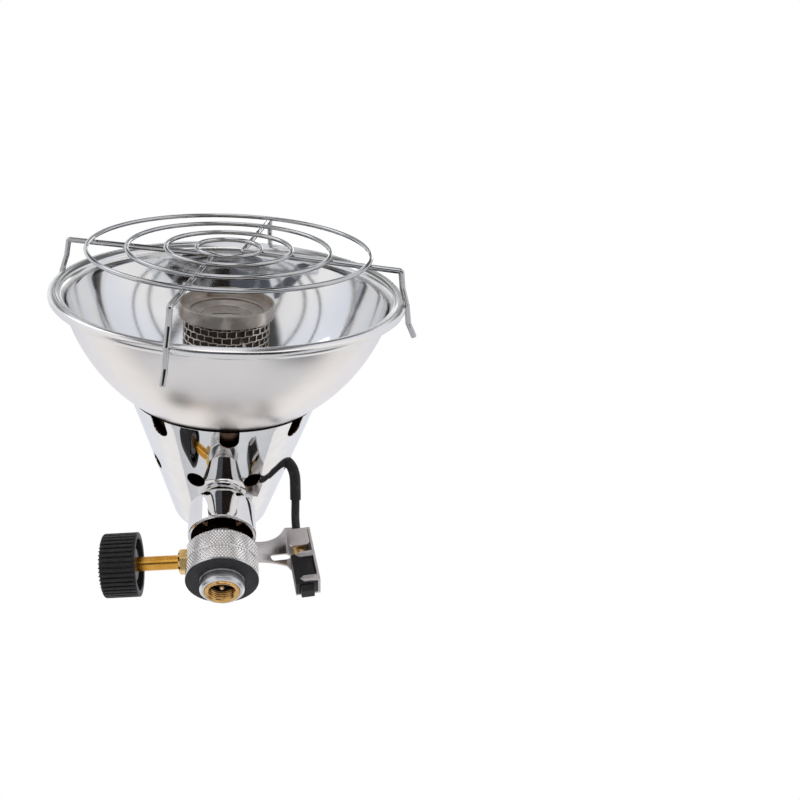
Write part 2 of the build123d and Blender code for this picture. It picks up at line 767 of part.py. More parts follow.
# ---------------------------------------------------------------- dish
bead_reach = rim_bead_radius * cos(radians(45))
with BuildPart() as reflector_dish:
    with BuildSketch(head_profile):
        # floor and elliptical wall
        with BuildLine():
            outer_wall = EllipticalCenterArc(
                (0, dish_centre),
                dish_side_radius,
                dish_length_radius,
                start_angle=dish_angle(dish_floor),
                arc_size=dish_angle(dish_wall_end) - dish_angle(dish_floor),
            )
            inner_wall = EllipticalCenterArc(
                (0, dish_centre),
                dish_side_radius - dish_wall,
                dish_length_radius - dish_wall,
                start_angle=dish_angle(dish_floor + dish_wall, dish_wall),
                arc_size=dish_angle(dish_wall_end, dish_wall)
                - dish_angle(dish_floor + dish_wall, dish_wall),
            )
            # the wall flares out and rolls into the bead
            outer_flare = Bezier(
                outer_wall @ 1,
                (dish_radius(dish_wall_end), dish_wall_end + dish_wall),
                (rim_radius - bead_reach, rim_place - bead_reach),
            )
            inner_flare = Bezier(
                inner_wall @ 1,
                (dish_radius(dish_wall_end, dish_wall), rim_place + bead_reach / 2),
                (rim_radius - bead_reach, rim_place + bead_reach),
            )
            Line(outer_flare @ 1, inner_flare @ 1)
            Polyline(
                outer_wall @ 0,
                (tube_diameter / 2 + tube_hole_clearance, dish_floor),
                (tube_diameter / 2 + tube_hole_clearance, dish_floor + dish_wall),
                inner_wall @ 0,
            )
        make_face()
        with Locations((rim_radius, rim_place)):
            Circle(rim_bead_radius)
    revolve(axis=head_axis)
    # hole for the electrode's ceramic
    electrode_foot = Plane(
        origin=head_point(electrode_angle, electrode_radius, dish_floor),
        z_dir=head_direction,
    )
    with BuildSketch(electrode_foot):
        Circle(ceramic_diameter / 2 + ceramic_clearance)
    extrude(amount=cone_round * 2, mode=Mode.SUBTRACT)
finish(reflector_dish, "reflector_dish", "silver")

# ---------------------------------------------------------------- burner
burner_seat = dish_floor + dish_wall
hub_inner_radius = tube_diameter / 2 + spigot_clearance
burner_rim = burner_seat + burner_height
with BuildPart() as burner_base:
    with BuildSketch(head_profile):
        Polygon(
            (hub_inner_radius, burner_seat),
            (burner_floor_radius, burner_seat),
            (burner_radius, burner_seat + burner_flare),
            (burner_radius, burner_rim),
            (burner_radius - burner_wall, burner_rim),
            (burner_radius - burner_wall, burner_seat + burner_flare + burner_wall / 2),
            (burner_floor_radius - burner_wall / 2, burner_seat + burner_wall),
            (burner_hub_radius, burner_seat + burner_wall),
            (burner_hub_radius, burner_seat + burner_hub_height),
            (hub_inner_radius, burner_seat + burner_hub_height),
            align=None,
        )
    revolve(axis=head_axis)
finish(burner_base, "burner_base", "gray")

cap_web_front = cap_front - cap_recess
cap_web_back = cap_web_front - cap_wall
with BuildPart() as burner_mesh:
    with BuildSketch(head.offset(mesh_start)):
        Circle(mesh_radius)
        Circle(mesh_radius - mesh_wall, mode=Mode.SUBTRACT)
    extrude(amount=cap_web_back - mesh_start)
finish(burner_mesh, "burner_mesh", "gray")

with BuildPart() as burner_cap:
    with BuildSketch(head.offset(cap_front - cap_height)):
        Circle(cap_radius)
        Circle(cap_radius - cap_wall, mode=Mode.SUBTRACT)
    extrude(amount=cap_height)
    fillet(burner_cap.edges().filter_by(GeomType.CIRCLE), radius=cap_round)
    with BuildSketch(head.offset(cap_web_back)):
        Circle(cap_radius - cap_wall / 2)
        Circle(cap_mouth_radius, mode=Mode.SUBTRACT)
    extrude(amount=cap_wall)
finish(burner_cap, "burner_cap", "gray")

# dished plate under the cap's ledge, with a slit across its middle
spreader_front = cap_web_back
with BuildPart() as flame_spreader:
    with BuildSketch(head_profile):
        Polygon(
            (0, spreader_front - spreader_depth),
            (spreader_flat_radius, spreader_front - spreader_depth),
            (cap_mouth_radius - spreader_wall, spreader_front - spreader_wall),
            (spreader_radius, spreader_front - spreader_wall),
            (spreader_radius, spreader_front),
            (cap_mouth_radius - 2 * spreader_wall, spreader_front),
            (spreader_flat_radius - spreader_wall, spreader_front - spreader_depth + spreader_wall),
            (0, spreader_front - spreader_depth + spreader_wall),
            align=None,
        )
    revolve(axis=head_axis)
    with BuildSketch(head.offset(spreader_front - spreader_depth)):
        SlotOverall(spreader_slit_length, spreader_slit_width)
    extrude(amount=spreader_depth, both=True, mode=Mode.SUBTRACT)
finish(flame_spreader, "flame_spreader", "gray")

# ---------------------------------------------------------------- ignition electrode
ceramic_plane = Plane(
    origin=head_point(electrode_angle, electrode_radius, ceramic_back), z_dir=head_direction
)
socket_floor = ceramic_front - rod_socket
with BuildPart() as electrode_ceramic:
    with BuildSketch(ceramic_plane):
        Circle(ceramic_diameter / 2)
    extrude(amount=ceramic_front - ceramic_back)
    fillet(electrode_ceramic.edges().filter_by(GeomType.CIRCLE), radius=ceramic_round)
    with BuildSketch(ceramic_plane.offset(socket_floor - ceramic_back)):
        Circle(rod_diameter / 2 + spigot_clearance)
    extrude(amount=rod_socket, mode=Mode.SUBTRACT)
finish(electrode_ceramic, "electrode_ceramic", "white")

with BuildPart() as electrode_rod:
    with BuildLine() as rod_route:
        FilletPolyline(
            head_point(electrode_angle, electrode_radius, socket_floor),
            head_point(electrode_angle, electrode_radius, rod_front),
            head_point(electrode_angle, mesh_radius + spark_gap, rod_front),
            radius=rod_bend_radius,
        )
    with BuildSketch(ceramic_plane.offset(socket_floor - ceramic_back)):
        Circle(rod_diameter / 2)
    sweep(path=rod_route.line)
finish(electrode_rod, "electrode_rod", "gray")

# strap that holds the ceramic to the burner
clip_plane = Plane(
    origin=head_point(0, 0, clip_place), x_dir=outward(electrode_angle), z_dir=head_direction
)
with BuildPart() as electrode_clip:
    with BuildSketch(clip_plane):
        with Locations((electrode_radius / 2, 0)):
            Rectangle(electrode_radius, clip_width)
        with Locations((electrode_radius, 0)):
            Circle(clip_width / 2)
            Circle(ceramic_diameter / 2 + spigot_clearance, mode=Mode.SUBTRACT)
        Circle(burner_radius + spigot_clearance, mode=Mode.SUBTRACT)
    extrude(amount=clip_thickness)
finish(electrode_clip, "electrode_clip", "gray")

# ---------------------------------------------------------------- grill
ring_place = wire_place + (cross_wire_diameter + ring_wire_diameter) / 2 + weld_gap
for number, ring_radius in enumerate(ring_radii, start=1):
    with BuildPart() as grill_ring:
        with BuildSketch(head_profile):
            with Locations((ring_radius, ring_place)):
                Circle(ring_wire_diameter / 2)
        revolve(axis=head_axis)
    finish(grill_ring, f"grill_ring_{number}", "silver")

wire_radius = cross_wire_diameter / 2
prong_grip_radius = rim_radius + rim_bead_radius + wire_radius + prong_grip_gap
# one prong from its corner to its tip, as radius from the head axis and place along it
prong_profile = (
    (rim_radius - prong_corner_inset, wire_place),
    (rim_radius - prong_waist_inset, rim_place + prong_waist_rise),
    (prong_grip_radius, rim_place + prong_grip_rise),
    (rim_radius + prong_hook_flare, rim_place - prong_hook_drop),
    (rim_radius + prong_tip_flare, rim_place - prong_tip_drop),
)


def prong_points(angle, beside):
    """Points of one prong, its plane set a little beside the head axis."""
    return [
        head_point(angle, radius, along) + outward(angle + 90) * beside
        for radius, along in prong_profile
    ]


# each cross wire runs in to the middle, turns square and runs out again
elbow_leg = wire_leg_offset * sqrt(2)
for number, wire_angle in enumerate((grill_turn + 180, grill_turn), start=1):
    first_prong = prong_points(wire_angle, wire_leg_offset)
    second_prong = prong_points(wire_angle + 90, -wire_leg_offset)
    elbow = head_point(wire_angle + 45, elbow_leg, wire_place)
    route = first_prong[::-1] + [elbow] + second_prong
    bends = [prong_bend] * 3 + [prong_corner_bend, wire_elbow_radius]
    bends += [prong_corner_bend] + [prong_bend] * 3
    with BuildPart() as grill_wire:
        with BuildLine() as wire_route:
            FilletPolyline(*route, radius=bends)
        with BuildSketch(Plane(origin=wire_route.line @ 0, z_dir=wire_route.line % 0)):
            Circle(wire_radius)
        sweep(path=wire_route.line)
    finish(grill_wire, f"grill_wire_{number}", "silver")

# ---------------------------------------------------------------- piezo igniter
lean = radians(igniter_lean)
# the igniter stands a little aslant: x across, y to the back, z up along its body
igniter = Plane(
    origin=(igniter_x, igniter_y, igniter_base),
    x_dir=(cos(lean), 0, sin(lean)),
    z_dir=(-sin(lean), 0, cos(lean)),
)
igniter_axis = Axis(igniter.origin, igniter.z_dir)
head_width = button_width + 2 * button_head_margin
head_depth = button_depth + 2 * button_head_margin
button_head_top = mouth_thickness + button_clearance + button_head_length
chamber_top = igniter_length - chamber_roof

with BuildPart() as igniter_body:
    with BuildSketch(igniter):
        Rectangle(igniter_width, igniter_depth)
    extrude(amount=igniter_length)
    fillet(igniter_body.edges().filter_by(igniter_axis), radius=igniter_round)
    fillet(igniter_body.faces().sort_by(igniter_axis)[-1].edges(), radius=igniter_top_round)
    with BuildSketch(igniter):
        Rectangle(button_width + 2 * button_clearance, button_depth + 2 * button_clearance)
    extrude(amount=mouth_thickness, mode=Mode.SUBTRACT)
    with BuildSketch(igniter.offset(mouth_thickness)):
        Rectangle(head_width + 2 * button_clearance, head_depth + 2 * button_clearance)
    extrude(amount=chamber_top - mouth_thickness, mode=Mode.SUBTRACT)
finish(igniter_body, "igniter_body", "gray15")

with BuildPart() as igniter_button:
    with BuildSketch(igniter.offset(-button_proud)):
        Rectangle(button_width, button_depth)
    extrude(amount=button_head_top + button_proud)
    fillet(igniter_button.faces().sort_by(Axis.Z)[0].edges(), radius=button_head_margin)
    # wider head that the body's mouth holds back
    with BuildSketch(igniter.offset(mouth_thickness + button_clearance)):
        Rectangle(head_width, head_depth)
    extrude(amount=button_head_length)
finish(igniter_button, "igniter_button", "gray20")

with BuildPart() as igniter_spring:
    with BuildSketch(igniter.offset(button_head_top)):
        Circle(spring_diameter / 2)
        Circle(spring_bore / 2, mode=Mode.SUBTRACT)
    extrude(amount=chamber_top - button_head_top)
finish(igniter_spring, "igniter_spring", "gray")

with BuildPart() as igniter_terminal:
    with BuildSketch(igniter.offset(igniter_length)):
        Circle(terminal_diameter / 2)
    extrude(amount=terminal_length)
    terminal_top = igniter_terminal.faces().sort_by(igniter_axis)[-1]
    chamfer(terminal_top.edges(), length=terminal_chamfer)
finish(igniter_terminal, "igniter_terminal", "gold")

# one folded sheet: ring under the neck, tongue, upright arm, and cage round the igniter
arm_direction = Vector(cos(radians(arm_turn)), sin(radians(arm_turn)), 0)
arm_plane = Plane(
    origin=(0, 0, body_top), x_dir=arm_direction, z_dir=arm_direction.cross(Vector(0, 0, 1))
)
tongue_plane = Plane(origin=(0, 0, body_top), x_dir=arm_direction, z_dir=(0, 0, 1))
cage_back = igniter_depth / 2 + cage_clearance
cage_side = igniter_width / 2 + cage_clearance
cage_outside = cage_side + bracket_thickness
claw_tip = cage_outside - claw_length
flap_bottom = cage_top - flap_height
arm_end = (igniter_y + cage_back + bracket_thickness / 2) / sin(radians(arm_turn))
arm_top = arm_end_rise + arm_end_height


def cage_plane(place):
    """Plane across the igniter at a place behind its axis, its z pointing to the front."""
    return Plane(
        origin=igniter.from_local_coords(Vector(0, place, 0)),
        x_dir=igniter.x_dir,
        z_dir=-igniter.y_dir,
    )


# the ends of the arm, as seen on the back plate that they run into
plate_plane = cage_plane(cage_back + bracket_thickness)
arm_end_points = [
    arm_plane.from_local_coords(Vector(arm_end, height, 0)) for height in (arm_end_rise, arm_top)
]
arm_end_low, arm_end_high = [plate_plane.to_local_coords(point) for point in arm_end_points]

with BuildPart() as igniter_bracket:
    with BuildSketch(Plane.XY.offset(body_top)):
        Circle(bracket_ring_diameter / 2)
    extrude(amount=bracket_thickness)
    with BuildSketch(tongue_plane):
        with Locations((tongue_reach / 2, (tongue_width - bracket_thickness) / 2)):
            Rectangle(tongue_reach, tongue_width)
    extrude(amount=bracket_thickness)
    with BuildSketch(Plane.XY.offset(body_top)):
        Circle(neck_spigot_diameter / 2 + spigot_clearance)
    extrude(amount=bracket_thickness, mode=Mode.SUBTRACT)
    # upright arm: a foot on the tongue, a hollow belly, and a back that sweeps up to the cage
    with BuildSketch(arm_plane):
        with BuildLine():
            Polyline(
                (arm_start, arm_root_height),
                (arm_start, arm_foot_height),
                (arm_foot_reach, arm_foot_height),
                (arm_foot_reach, 0),
                (arm_start, 0),
            )
            Bezier(
                (arm_start, 0),
                (arm_start + arm_belly_reach, arm_belly_rise),
                (arm_end, arm_end_rise),
            )
            Line((arm_end, arm_end_rise), (arm_end, arm_top))
            Bezier(
                (arm_end, arm_top),
                (arm_end - arm_end_sweep, arm_top - arm_end_drop),
                (arm_start + arm_root_sweep, arm_root_height + arm_root_rise),
                (arm_start, arm_root_height),
            )
        make_face()
    extrude(amount=bracket_thickness / 2, both=True)
    # back plate, reaching out to the arm and falling to the roof's outer corner
    with BuildSketch(plate_plane):
        Polygon(
            (-cage_side, cage_bottom),
            (cage_outside, cage_bottom),
            (cage_outside, cage_top),
            (plate_shoulder, plate_top),
            (arm_end_high.X, arm_end_high.Y),
            (arm_end_low.X, arm_end_low.Y),
            (-cage_side, arm_end_low.Y - arm_slot_height),
            align=None,
        )
    extrude(amount=bracket_thickness)
    # slot that parts the arm's lower strip, open into the back plate
    with BuildSketch(arm_plane):
        with Locations((arm_slot_start, arm_slot_rise)):
            with Locations(Location((0, 0), arm_slot_slope)):
                with Locations((arm_slot_length / 2, 0)):
                    SlotOverall(arm_slot_length, arm_slot_height)
    extrude(amount=2 * bracket_thickness, both=True, mode=Mode.SUBTRACT)
    # side wall and the roof folded from it, with the hole for the lead
    with BuildSketch(igniter.offset(cage_bottom)):
        with Locations((cage_side + bracket_thickness / 2, 0)):
            Rectangle(bracket_thickness, 2 * (cage_back + bracket_thickness))
    extrude(amount=cage_top - cage_bottom)
    with BuildSketch(igniter.offset(cage_top - bracket_thickness)):
        with Locations(((cage_outside - flap_width / 2) / 2, 0)):
            Rectangle(cage_outside + flap_width / 2, 2 * (cage_back + bracket_thickness))
        Circle(lead_diameter / 2 + lead_hole_clearance, mode=Mode.SUBTRACT)
    extrude(amount=bracket_thickness)
    # flap in front of the terminal, its lower corners cut
    with BuildSketch(cage_plane(-cage_back)):
        Polygon(
            (-flap_width / 2, cage_top),
            (-flap_width / 2, flap_bottom + flap_corner),
            (-flap_width / 2 + flap_corner, flap_bottom),
            (flap_width / 2 - flap_corner, flap_bottom),
            (flap_width / 2, flap_bottom + flap_corner),
            (flap_width / 2, cage_top),
            align=None,
        )
    extrude(amount=bracket_thickness)
    # two claws folded round the front of the igniter
    for claw_place in claw_places:
        with BuildSketch(cage_plane(-cage_back)):
            Polygon(
                (cage_outside, claw_place),
                (cage_outside, claw_place + claw_height),
                (claw_tip + claw_point, claw_place + claw_height),
                (claw_tip, claw_place + claw_height / 2),
                (claw_tip + claw_point, claw_place),
                align=None,
            )
        extrude(amount=bracket_thickness)
finish(igniter_bracket, "igniter_bracket", "silver")

# ---------------------------------------------------------------- ignition lead
lead_hole_angle = -90 + opening_step / 2 + opening_step
lead_hole = cone_surface_plane(lead_hole_angle, cone_hole_place)
ceramic_foot = head_point(electrode_angle, electrode_radius, ceramic_back)
inner_bow_angle, inner_bow_radius, inner_bow_place = lead_inner_bow
lead_foot = igniter.from_local_coords(Vector(0, 0, igniter_length + terminal_length))
lead_points = [
    lead_foot,
    lead_foot + igniter.z_dir * lead_rise,
    Vector(*lead_bow),
    lead_hole.origin + lead_hole.z_dir * lead_outside_hole,
    lead_hole.origin - lead_hole.z_dir * lead_inside_hole,
    head_point(inner_bow_angle, inner_bow_radius, inner_bow_place),
    ceramic_foot - head_direction * lead_straight_to_ceramic,
    ceramic_foot,
]


def route_radii(points):
    """Largest tangent arc at each inner point that leaves its shorter run a straight middle."""
    radii = []
    for before, here, after in zip(points, points[1:], points[2:]):
        half_turn = radians((here - before).get_angle(after - here)) / 2
        shorter_run = min((here - before).length, (after - here).length)
        radii.append(lead_arc_share * shorter_run / tan(half_turn))
    return radii


lead_radii = route_radii(lead_points)
print("lead runs", [round((b - a).length, 1) for a, b in zip(lead_points, lead_points[1:])])
print("lead radii", [round(radius, 1) for radius in lead_radii])

with BuildPart() as ignition_lead:
    with BuildLine() as lead_route:
        FilletPolyline(*lead_points, radius=lead_radii)
    with BuildSketch(Plane(origin=lead_route.line @ 0, z_dir=lead_route.line % 0)):
        Circle(lead_diameter / 2)
    sweep(path=lead_route.line)
print("lead length", round(sum(edge.length for edge in lead_route.line.edges()), 1))
finish(ignition_lead, "ignition_lead", "gray10")

# heat sleeve over the lead, from half way up the bow to just inside the cone
sleeve_points = (
    [lead_points[1] + (lead_points[2] - lead_points[1]) * sleeve_start_share]
    + lead_points[2:4]
    + [lead_hole.origin - lead_hole.z_dir * sleeve_inside_hole]
)
with BuildPart() as lead_sleeve:
    with BuildLine() as sleeve_route:
        FilletPolyline(*sleeve_points, radius=lead_radii[1:3])
    with BuildSketch(Plane(origin=sleeve_route.line @ 0, z_dir=sleeve_route.line % 0)):
        Circle(sleeve_diameter / 2)
        Circle(lead_diameter / 2 + sleeve_clearance, mode=Mode.SUBTRACT)
    sweep(path=sleeve_route.line)
finish(lead_sleeve, "lead_sleeve", "gray15")
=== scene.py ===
import json
from math import atan2, ceil, cos, hypot, pi, radians, sin, sqrt, tan, tau

import bpy
import bmesh
import numpy as np
from mathutils import Matrix, Vector

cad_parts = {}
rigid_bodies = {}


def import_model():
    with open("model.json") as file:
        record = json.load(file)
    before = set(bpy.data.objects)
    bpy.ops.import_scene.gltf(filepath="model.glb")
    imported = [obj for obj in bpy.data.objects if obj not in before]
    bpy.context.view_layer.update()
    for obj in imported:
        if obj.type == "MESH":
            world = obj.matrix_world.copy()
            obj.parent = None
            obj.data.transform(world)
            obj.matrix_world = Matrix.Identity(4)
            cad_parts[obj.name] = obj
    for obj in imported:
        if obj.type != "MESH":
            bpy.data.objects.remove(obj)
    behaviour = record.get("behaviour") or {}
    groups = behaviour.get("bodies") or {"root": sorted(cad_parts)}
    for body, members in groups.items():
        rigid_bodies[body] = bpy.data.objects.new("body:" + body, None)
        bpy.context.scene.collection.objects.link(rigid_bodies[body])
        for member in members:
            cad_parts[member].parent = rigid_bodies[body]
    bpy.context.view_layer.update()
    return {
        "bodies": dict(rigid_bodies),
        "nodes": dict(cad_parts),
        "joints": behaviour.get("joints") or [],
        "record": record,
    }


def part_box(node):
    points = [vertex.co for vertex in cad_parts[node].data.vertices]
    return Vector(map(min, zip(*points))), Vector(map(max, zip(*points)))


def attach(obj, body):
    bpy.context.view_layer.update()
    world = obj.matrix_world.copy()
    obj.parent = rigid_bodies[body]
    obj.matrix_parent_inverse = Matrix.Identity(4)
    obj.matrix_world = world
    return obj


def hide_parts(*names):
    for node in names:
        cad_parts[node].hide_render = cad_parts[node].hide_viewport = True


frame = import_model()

MM = 0.001
NODES = frame["nodes"]

# ---- frames of the object
# all sizes below are in millimetres and become metres in the meshes
BODY_BOTTOM = 5.5
KNOB_HEIGHT = 15.6
HEAD_HEIGHT = 72.2
HEAD_TURN = radians(6.5)
HEAD_TILT = radians(71.6)
KNOB_BACK = 34.1
KNOB_FRONT = KNOB_BACK + 14.7
DIAL_SINK = 0.7
RIM_RADIUS = 71.65
RIM_BEAD = 2.2
BURNER_TOP = 71.4


def frame_matrix(origin, x_dir, z_dir):
    """Matrix of a local frame in the row frame; the origin is in millimetres."""
    z = Vector(z_dir).normalized()
    x = Vector(x_dir).normalized()
    y = z.cross(x)
    m = Matrix((x, y, z)).transposed().to_4x4()
    m.translation = Vector(origin) * MM
    return m


SIDE = Vector((cos(HEAD_TURN), sin(HEAD_TURN), 0))
AHEAD = Vector((
    sin(HEAD_TURN) * sin(HEAD_TILT),
    -cos(HEAD_TURN) * sin(HEAD_TILT),
    cos(HEAD_TILT),
))
HEAD = frame_matrix((0, 0, HEAD_HEIGHT), SIDE, AHEAD)
STACK = frame_matrix((0, 0, 0), (1, 0, 0), (0, 0, 1))
KNOB = frame_matrix((0, 0, KNOB_HEIGHT), (0, 1, 0), (-1, 0, 0))


# ---- node materials
def add_node(tree, kind, inputs, **settings):
    """New shader node with its inputs set or linked."""
    node = tree.nodes.new("ShaderNode" + kind)
    for key, value in settings.items():
        setattr(node, key, value)
    for key, value in inputs.items():
        if isinstance(value, bpy.types.NodeSocket):
            tree.links.new(value, node.inputs[key])
        else:
            node.inputs[key].default_value = value
    return node


class Shader:
    """Builds one Principled material from short lines."""

    def __init__(self, name, frame=None, **sockets):
        self.material = bpy.data.materials.new(name)
        self.material.use_nodes = True
        self.tree = self.material.node_tree
        self.bsdf = self.tree.nodes["Principled BSDF"]
        for key, value in sockets.items():
            self.bsdf.inputs[key.replace("_", " ")].default_value = value
        self.coords = None
        self.frame = frame

    def add(self, kind, inputs=None, **settings):
        return add_node(self.tree, kind, inputs or {}, **settings)

    def link(self, source, target):
        self.tree.links.new(source, self.bsdf.inputs[target])

    def place(self, scale=(1, 1, 1)):
        """Object coordinates, or those of the shader's frame, stretched."""
        if self.coords is None:
            self.coords = self.add("TexCoord").outputs["Object"]
            if self.frame:
                self.coords = self.add("Mapping", {
                    "Vector": self.coords, "Location": self.frame.translation,
                    "Rotation": self.frame.to_euler("XYZ"),
                }, vector_type="TEXTURE").outputs["Vector"]
        return self.add("Mapping", {"Vector": self.coords, "Scale": scale}).outputs["Vector"]

    def noise(self, scale, detail=3.0, roughness=0.5, stretch=(1, 1, 1), distortion=0.0):
        return self.add("TexNoise", {
            "Vector": self.place(stretch), "Scale": scale, "Detail": detail,
            "Roughness": roughness, "Distortion": distortion,
        }).outputs["Fac"]

    def spread(self, value, low, high, from_low=0.3, from_high=0.7):
        """Maps a value from one range to another."""
        return self.add("MapRange", {
            "Value": value, "From Min": from_low, "From Max": from_high,
            "To Min": low, "To Max": high,
        }).outputs["Result"]

    def along(self, low, high, start, end):
        """Value that goes from low to high between two places along local Z, in millimetres."""
        if self.coords is None:
            self.place()
        z = self.add("SeparateXYZ", {"Vector": self.coords}).outputs["Z"]
        return self.spread(z, low, high, start * MM, end * MM)

    def ramp(self, value, stops):
        node = self.add("ValToRGB", {"Fac": value})
        while len(node.color_ramp.elements) < len(stops):
            node.color_ramp.elements.new(0.5)
        for element, (position, colour) in zip(node.color_ramp.elements, stops):
            element.position = position
            element.color = (*colour, 1)
        return node.outputs["Color"]

    def mix(self, factor, a, b, blend="MIX"):
        a, b = (c if isinstance(c, bpy.types.NodeSocket) else (*c, 1) for c in (a, b))
        inputs = {0: factor, 6: a, 7: b}
        return self.add("Mix", inputs, data_type="RGBA", blend_type=blend).outputs[2]

    def bump(self, height, depth):
        """Relief on top of what the surface has already; depth is in millimetres."""
        inputs = {"Height": height, "Distance": depth * MM, "Strength": 1.0}
        so_far = self.bsdf.inputs["Normal"]
        if so_far.is_linked:
            inputs["Normal"] = so_far.links[0].from_socket
        self.link(self.add("Bump", inputs).outputs["Normal"], "Normal")

    def tangent_round(self):
        """Tangent that goes round the axis of the shader's frame."""
        here = self.add("TexCoord").outputs["Object"]
        origin, axis = self.frame.translation, self.frame.col[2].to_3d()
        reach = self.add("VectorMath", {0: here, 1: origin}, operation="SUBTRACT").outputs[0]
        node = self.add("VectorMath", {0: axis, 1: reach}, operation="CROSS_PRODUCT")
        self.link(node.outputs[0], "Tangent")


def rings_value(shader, pitch):
    """Fine rings round local Z, from fine noise that varies only along it."""
    return shader.noise(1000.0 / pitch, detail=2, stretch=(0.02, 0.02, 1))


def plated(name, colour, smudge=0.05, dent=0.03, rough=0.025, frame=None):
    """Bright plated sheet: clear reflections, faint smears and a slightly uneven surface."""
    s = Shader(name, frame, Metallic=1.0, Roughness=0.04)
    smears = s.noise(45, detail=4, stretch=(1, 1, 0.45))
    s.link(s.spread(smears, rough, rough + smudge), "Roughness")
    dark = tuple(c * 0.93 for c in colour)
    s.link(s.mix(s.spread(s.noise(160, detail=5), 0, 1, 0.35, 0.75), colour, dark), "Base Color")
    s.bump(s.noise(22, detail=1), dent)
    s.bump(s.noise(900, detail=2), 0.0006)
    return s.material


def spun(name, colour, rough, rough_span, anisotropy, ring_depth, pitch=0.9, junction_shade=None):
    """Spun and polished aluminium: fine rings round the axis, highlights drawn across them.
    Painted shade darkens the surface between two places along the axis, in millimetres."""
    s = Shader(name, HEAD, Metallic=1.0, Anisotropic=anisotropy)
    rings = rings_value(s, pitch)
    broad = rings_value(s, pitch * 9)
    clouds = s.noise(28, detail=4)
    rough_rings = s.spread(rings, rough, rough + rough_span, 0.25, 0.75)
    rough_clouds = s.spread(clouds, 0, rough_span, 0.3, 0.8)
    total = s.add("Math", {0: rough_rings, 1: rough_clouds}, operation="ADD")
    s.link(total.outputs[0], "Roughness")
    dark = tuple(c * 0.9 for c in colour)
    base = s.mix(s.spread(clouds, 0, 1, 0.3, 0.75), colour, dark)
    if junction_shade:
        # painted shade: a dark band on the dish's outside where it meets the cone
        base = s.mix(s.along(1, 0, *junction_shade), base, (0.035, 0.03, 0.027))
    s.link(base, "Base Color")
    s.bump(rings, ring_depth)
    s.bump(broad, ring_depth * 3)
    s.tangent_round()
    return s.material


def turned(name, colour, dark, rough=0.2, pitch=0.5, depth=0.004, tint_scale=140, deep=None,
           grooved=None):
    """Turned metal: tool marks round the axis and uneven colour. Past the places along Z in
    deep, in millimetres, painted shade darkens a hole's wall; grooved gives the radii between
    which painted shade darkens the grooves, most at the first."""
    s = Shader(name, Metallic=1.0)
    marks = rings_value(s, pitch)
    clouds = s.noise(tint_scale, detail=4)
    s.link(s.spread(clouds, rough, rough + 0.14), "Roughness")
    base = s.mix(s.spread(clouds, 0, 1, 0.35, 0.7), colour, dark)
    # painted shade: the wall of the hole turns near black past the places in deep
    if deep:
        base = s.mix(s.along(0, 1, *deep), base, (0.03, 0.02, 0.013))
    if grooved:
        # painted shade: the knurl's grooves darken towards their bottoms
        flat = s.add("VectorMath", {0: s.coords, 1: (1, 1, 0)}, operation="MULTIPLY").outputs[0]
        reach = s.add("VectorMath", {0: flat}, operation="LENGTH").outputs["Value"]
        groove_shade = s.spread(reach, 1, 0, grooved[0] * MM, grooved[1] * MM)
        base = s.mix(groove_shade, base, tuple(c * 0.6 for c in colour))
    s.link(base, "Base Color")
    s.bump(marks, depth)
    return s.material


def moulded(name, colour, rough, grain=0.012, worn=(0.07, 0.066, 0.066), grain_scale=2600,
            shine=0.5):
    """Moulded black plastic or rubber: fine grain, dust and rubbed places."""
    s = Shader(name, Roughness=rough, Specular_IOR_Level=shine)
    clouds = s.noise(120, detail=5)
    s.link(s.spread(clouds, rough - 0.08, rough + 0.12), "Roughness")
    rubbed = s.spread(s.noise(420, detail=6, roughness=0.7), 0, 0.55, 0.52, 0.8)
    s.link(s.mix(rubbed, colour, worn), "Base Color")
    s.bump(s.noise(grain_scale, detail=2), grain)
    return s.material


def heat_tinted(name, colour, dark, rust, rough):
    """Stainless steel after use: straw to brown stains, worst in patches."""
    s = Shader(name, HEAD, Metallic=0.85)
    clouds = s.noise(95, detail=5, roughness=0.6)
    patches = s.noise(42, detail=6, roughness=0.65, distortion=0.6)
    base = s.mix(s.spread(clouds, 0, 1, 0.35, 0.65), colour, dark)
    stain = s.spread(patches, 0, 1, 0.56, 0.68)
    s.link(s.mix(stain, base, rust), "Base Color")
    s.link(s.spread(clouds, rough, rough + 0.25, 0.3, 0.7), "Roughness")
    s.bump(s.noise(700, detail=4), 0.012)
    s.bump(rings_value(s, 0.5), 0.01)
    return s.material


def brushed(name, colour, dark, rough=0.3):
    """Sheet with a brushed finish along local Z."""
    s = Shader(name, Metallic=1.0)
    lines = s.noise(1400, stretch=(1, 1, 0.03))
    clouds = s.noise(110, detail=4)
    s.link(s.spread(lines, rough - 0.06, rough + 0.12), "Roughness")
    s.link(s.mix(s.spread(clouds, 0, 1, 0.3, 0.75), colour, dark), "Base Color")
    s.bump(lines, 0.004)
    return s.material


def painted(name, colour, dark, rough):
    """Smooth painted or glazed surface, slightly uneven in colour."""
    s = Shader(name, Roughness=rough, Coat_Weight=0.15, Coat_Roughness=0.12)
    s.link(s.mix(s.spread(s.noise(260, detail=5), 0, 1, 0.4, 0.8), colour, dark), "Base Color")
    s.bump(s.noise(1800, detail=2), 0.002)
    return s.material


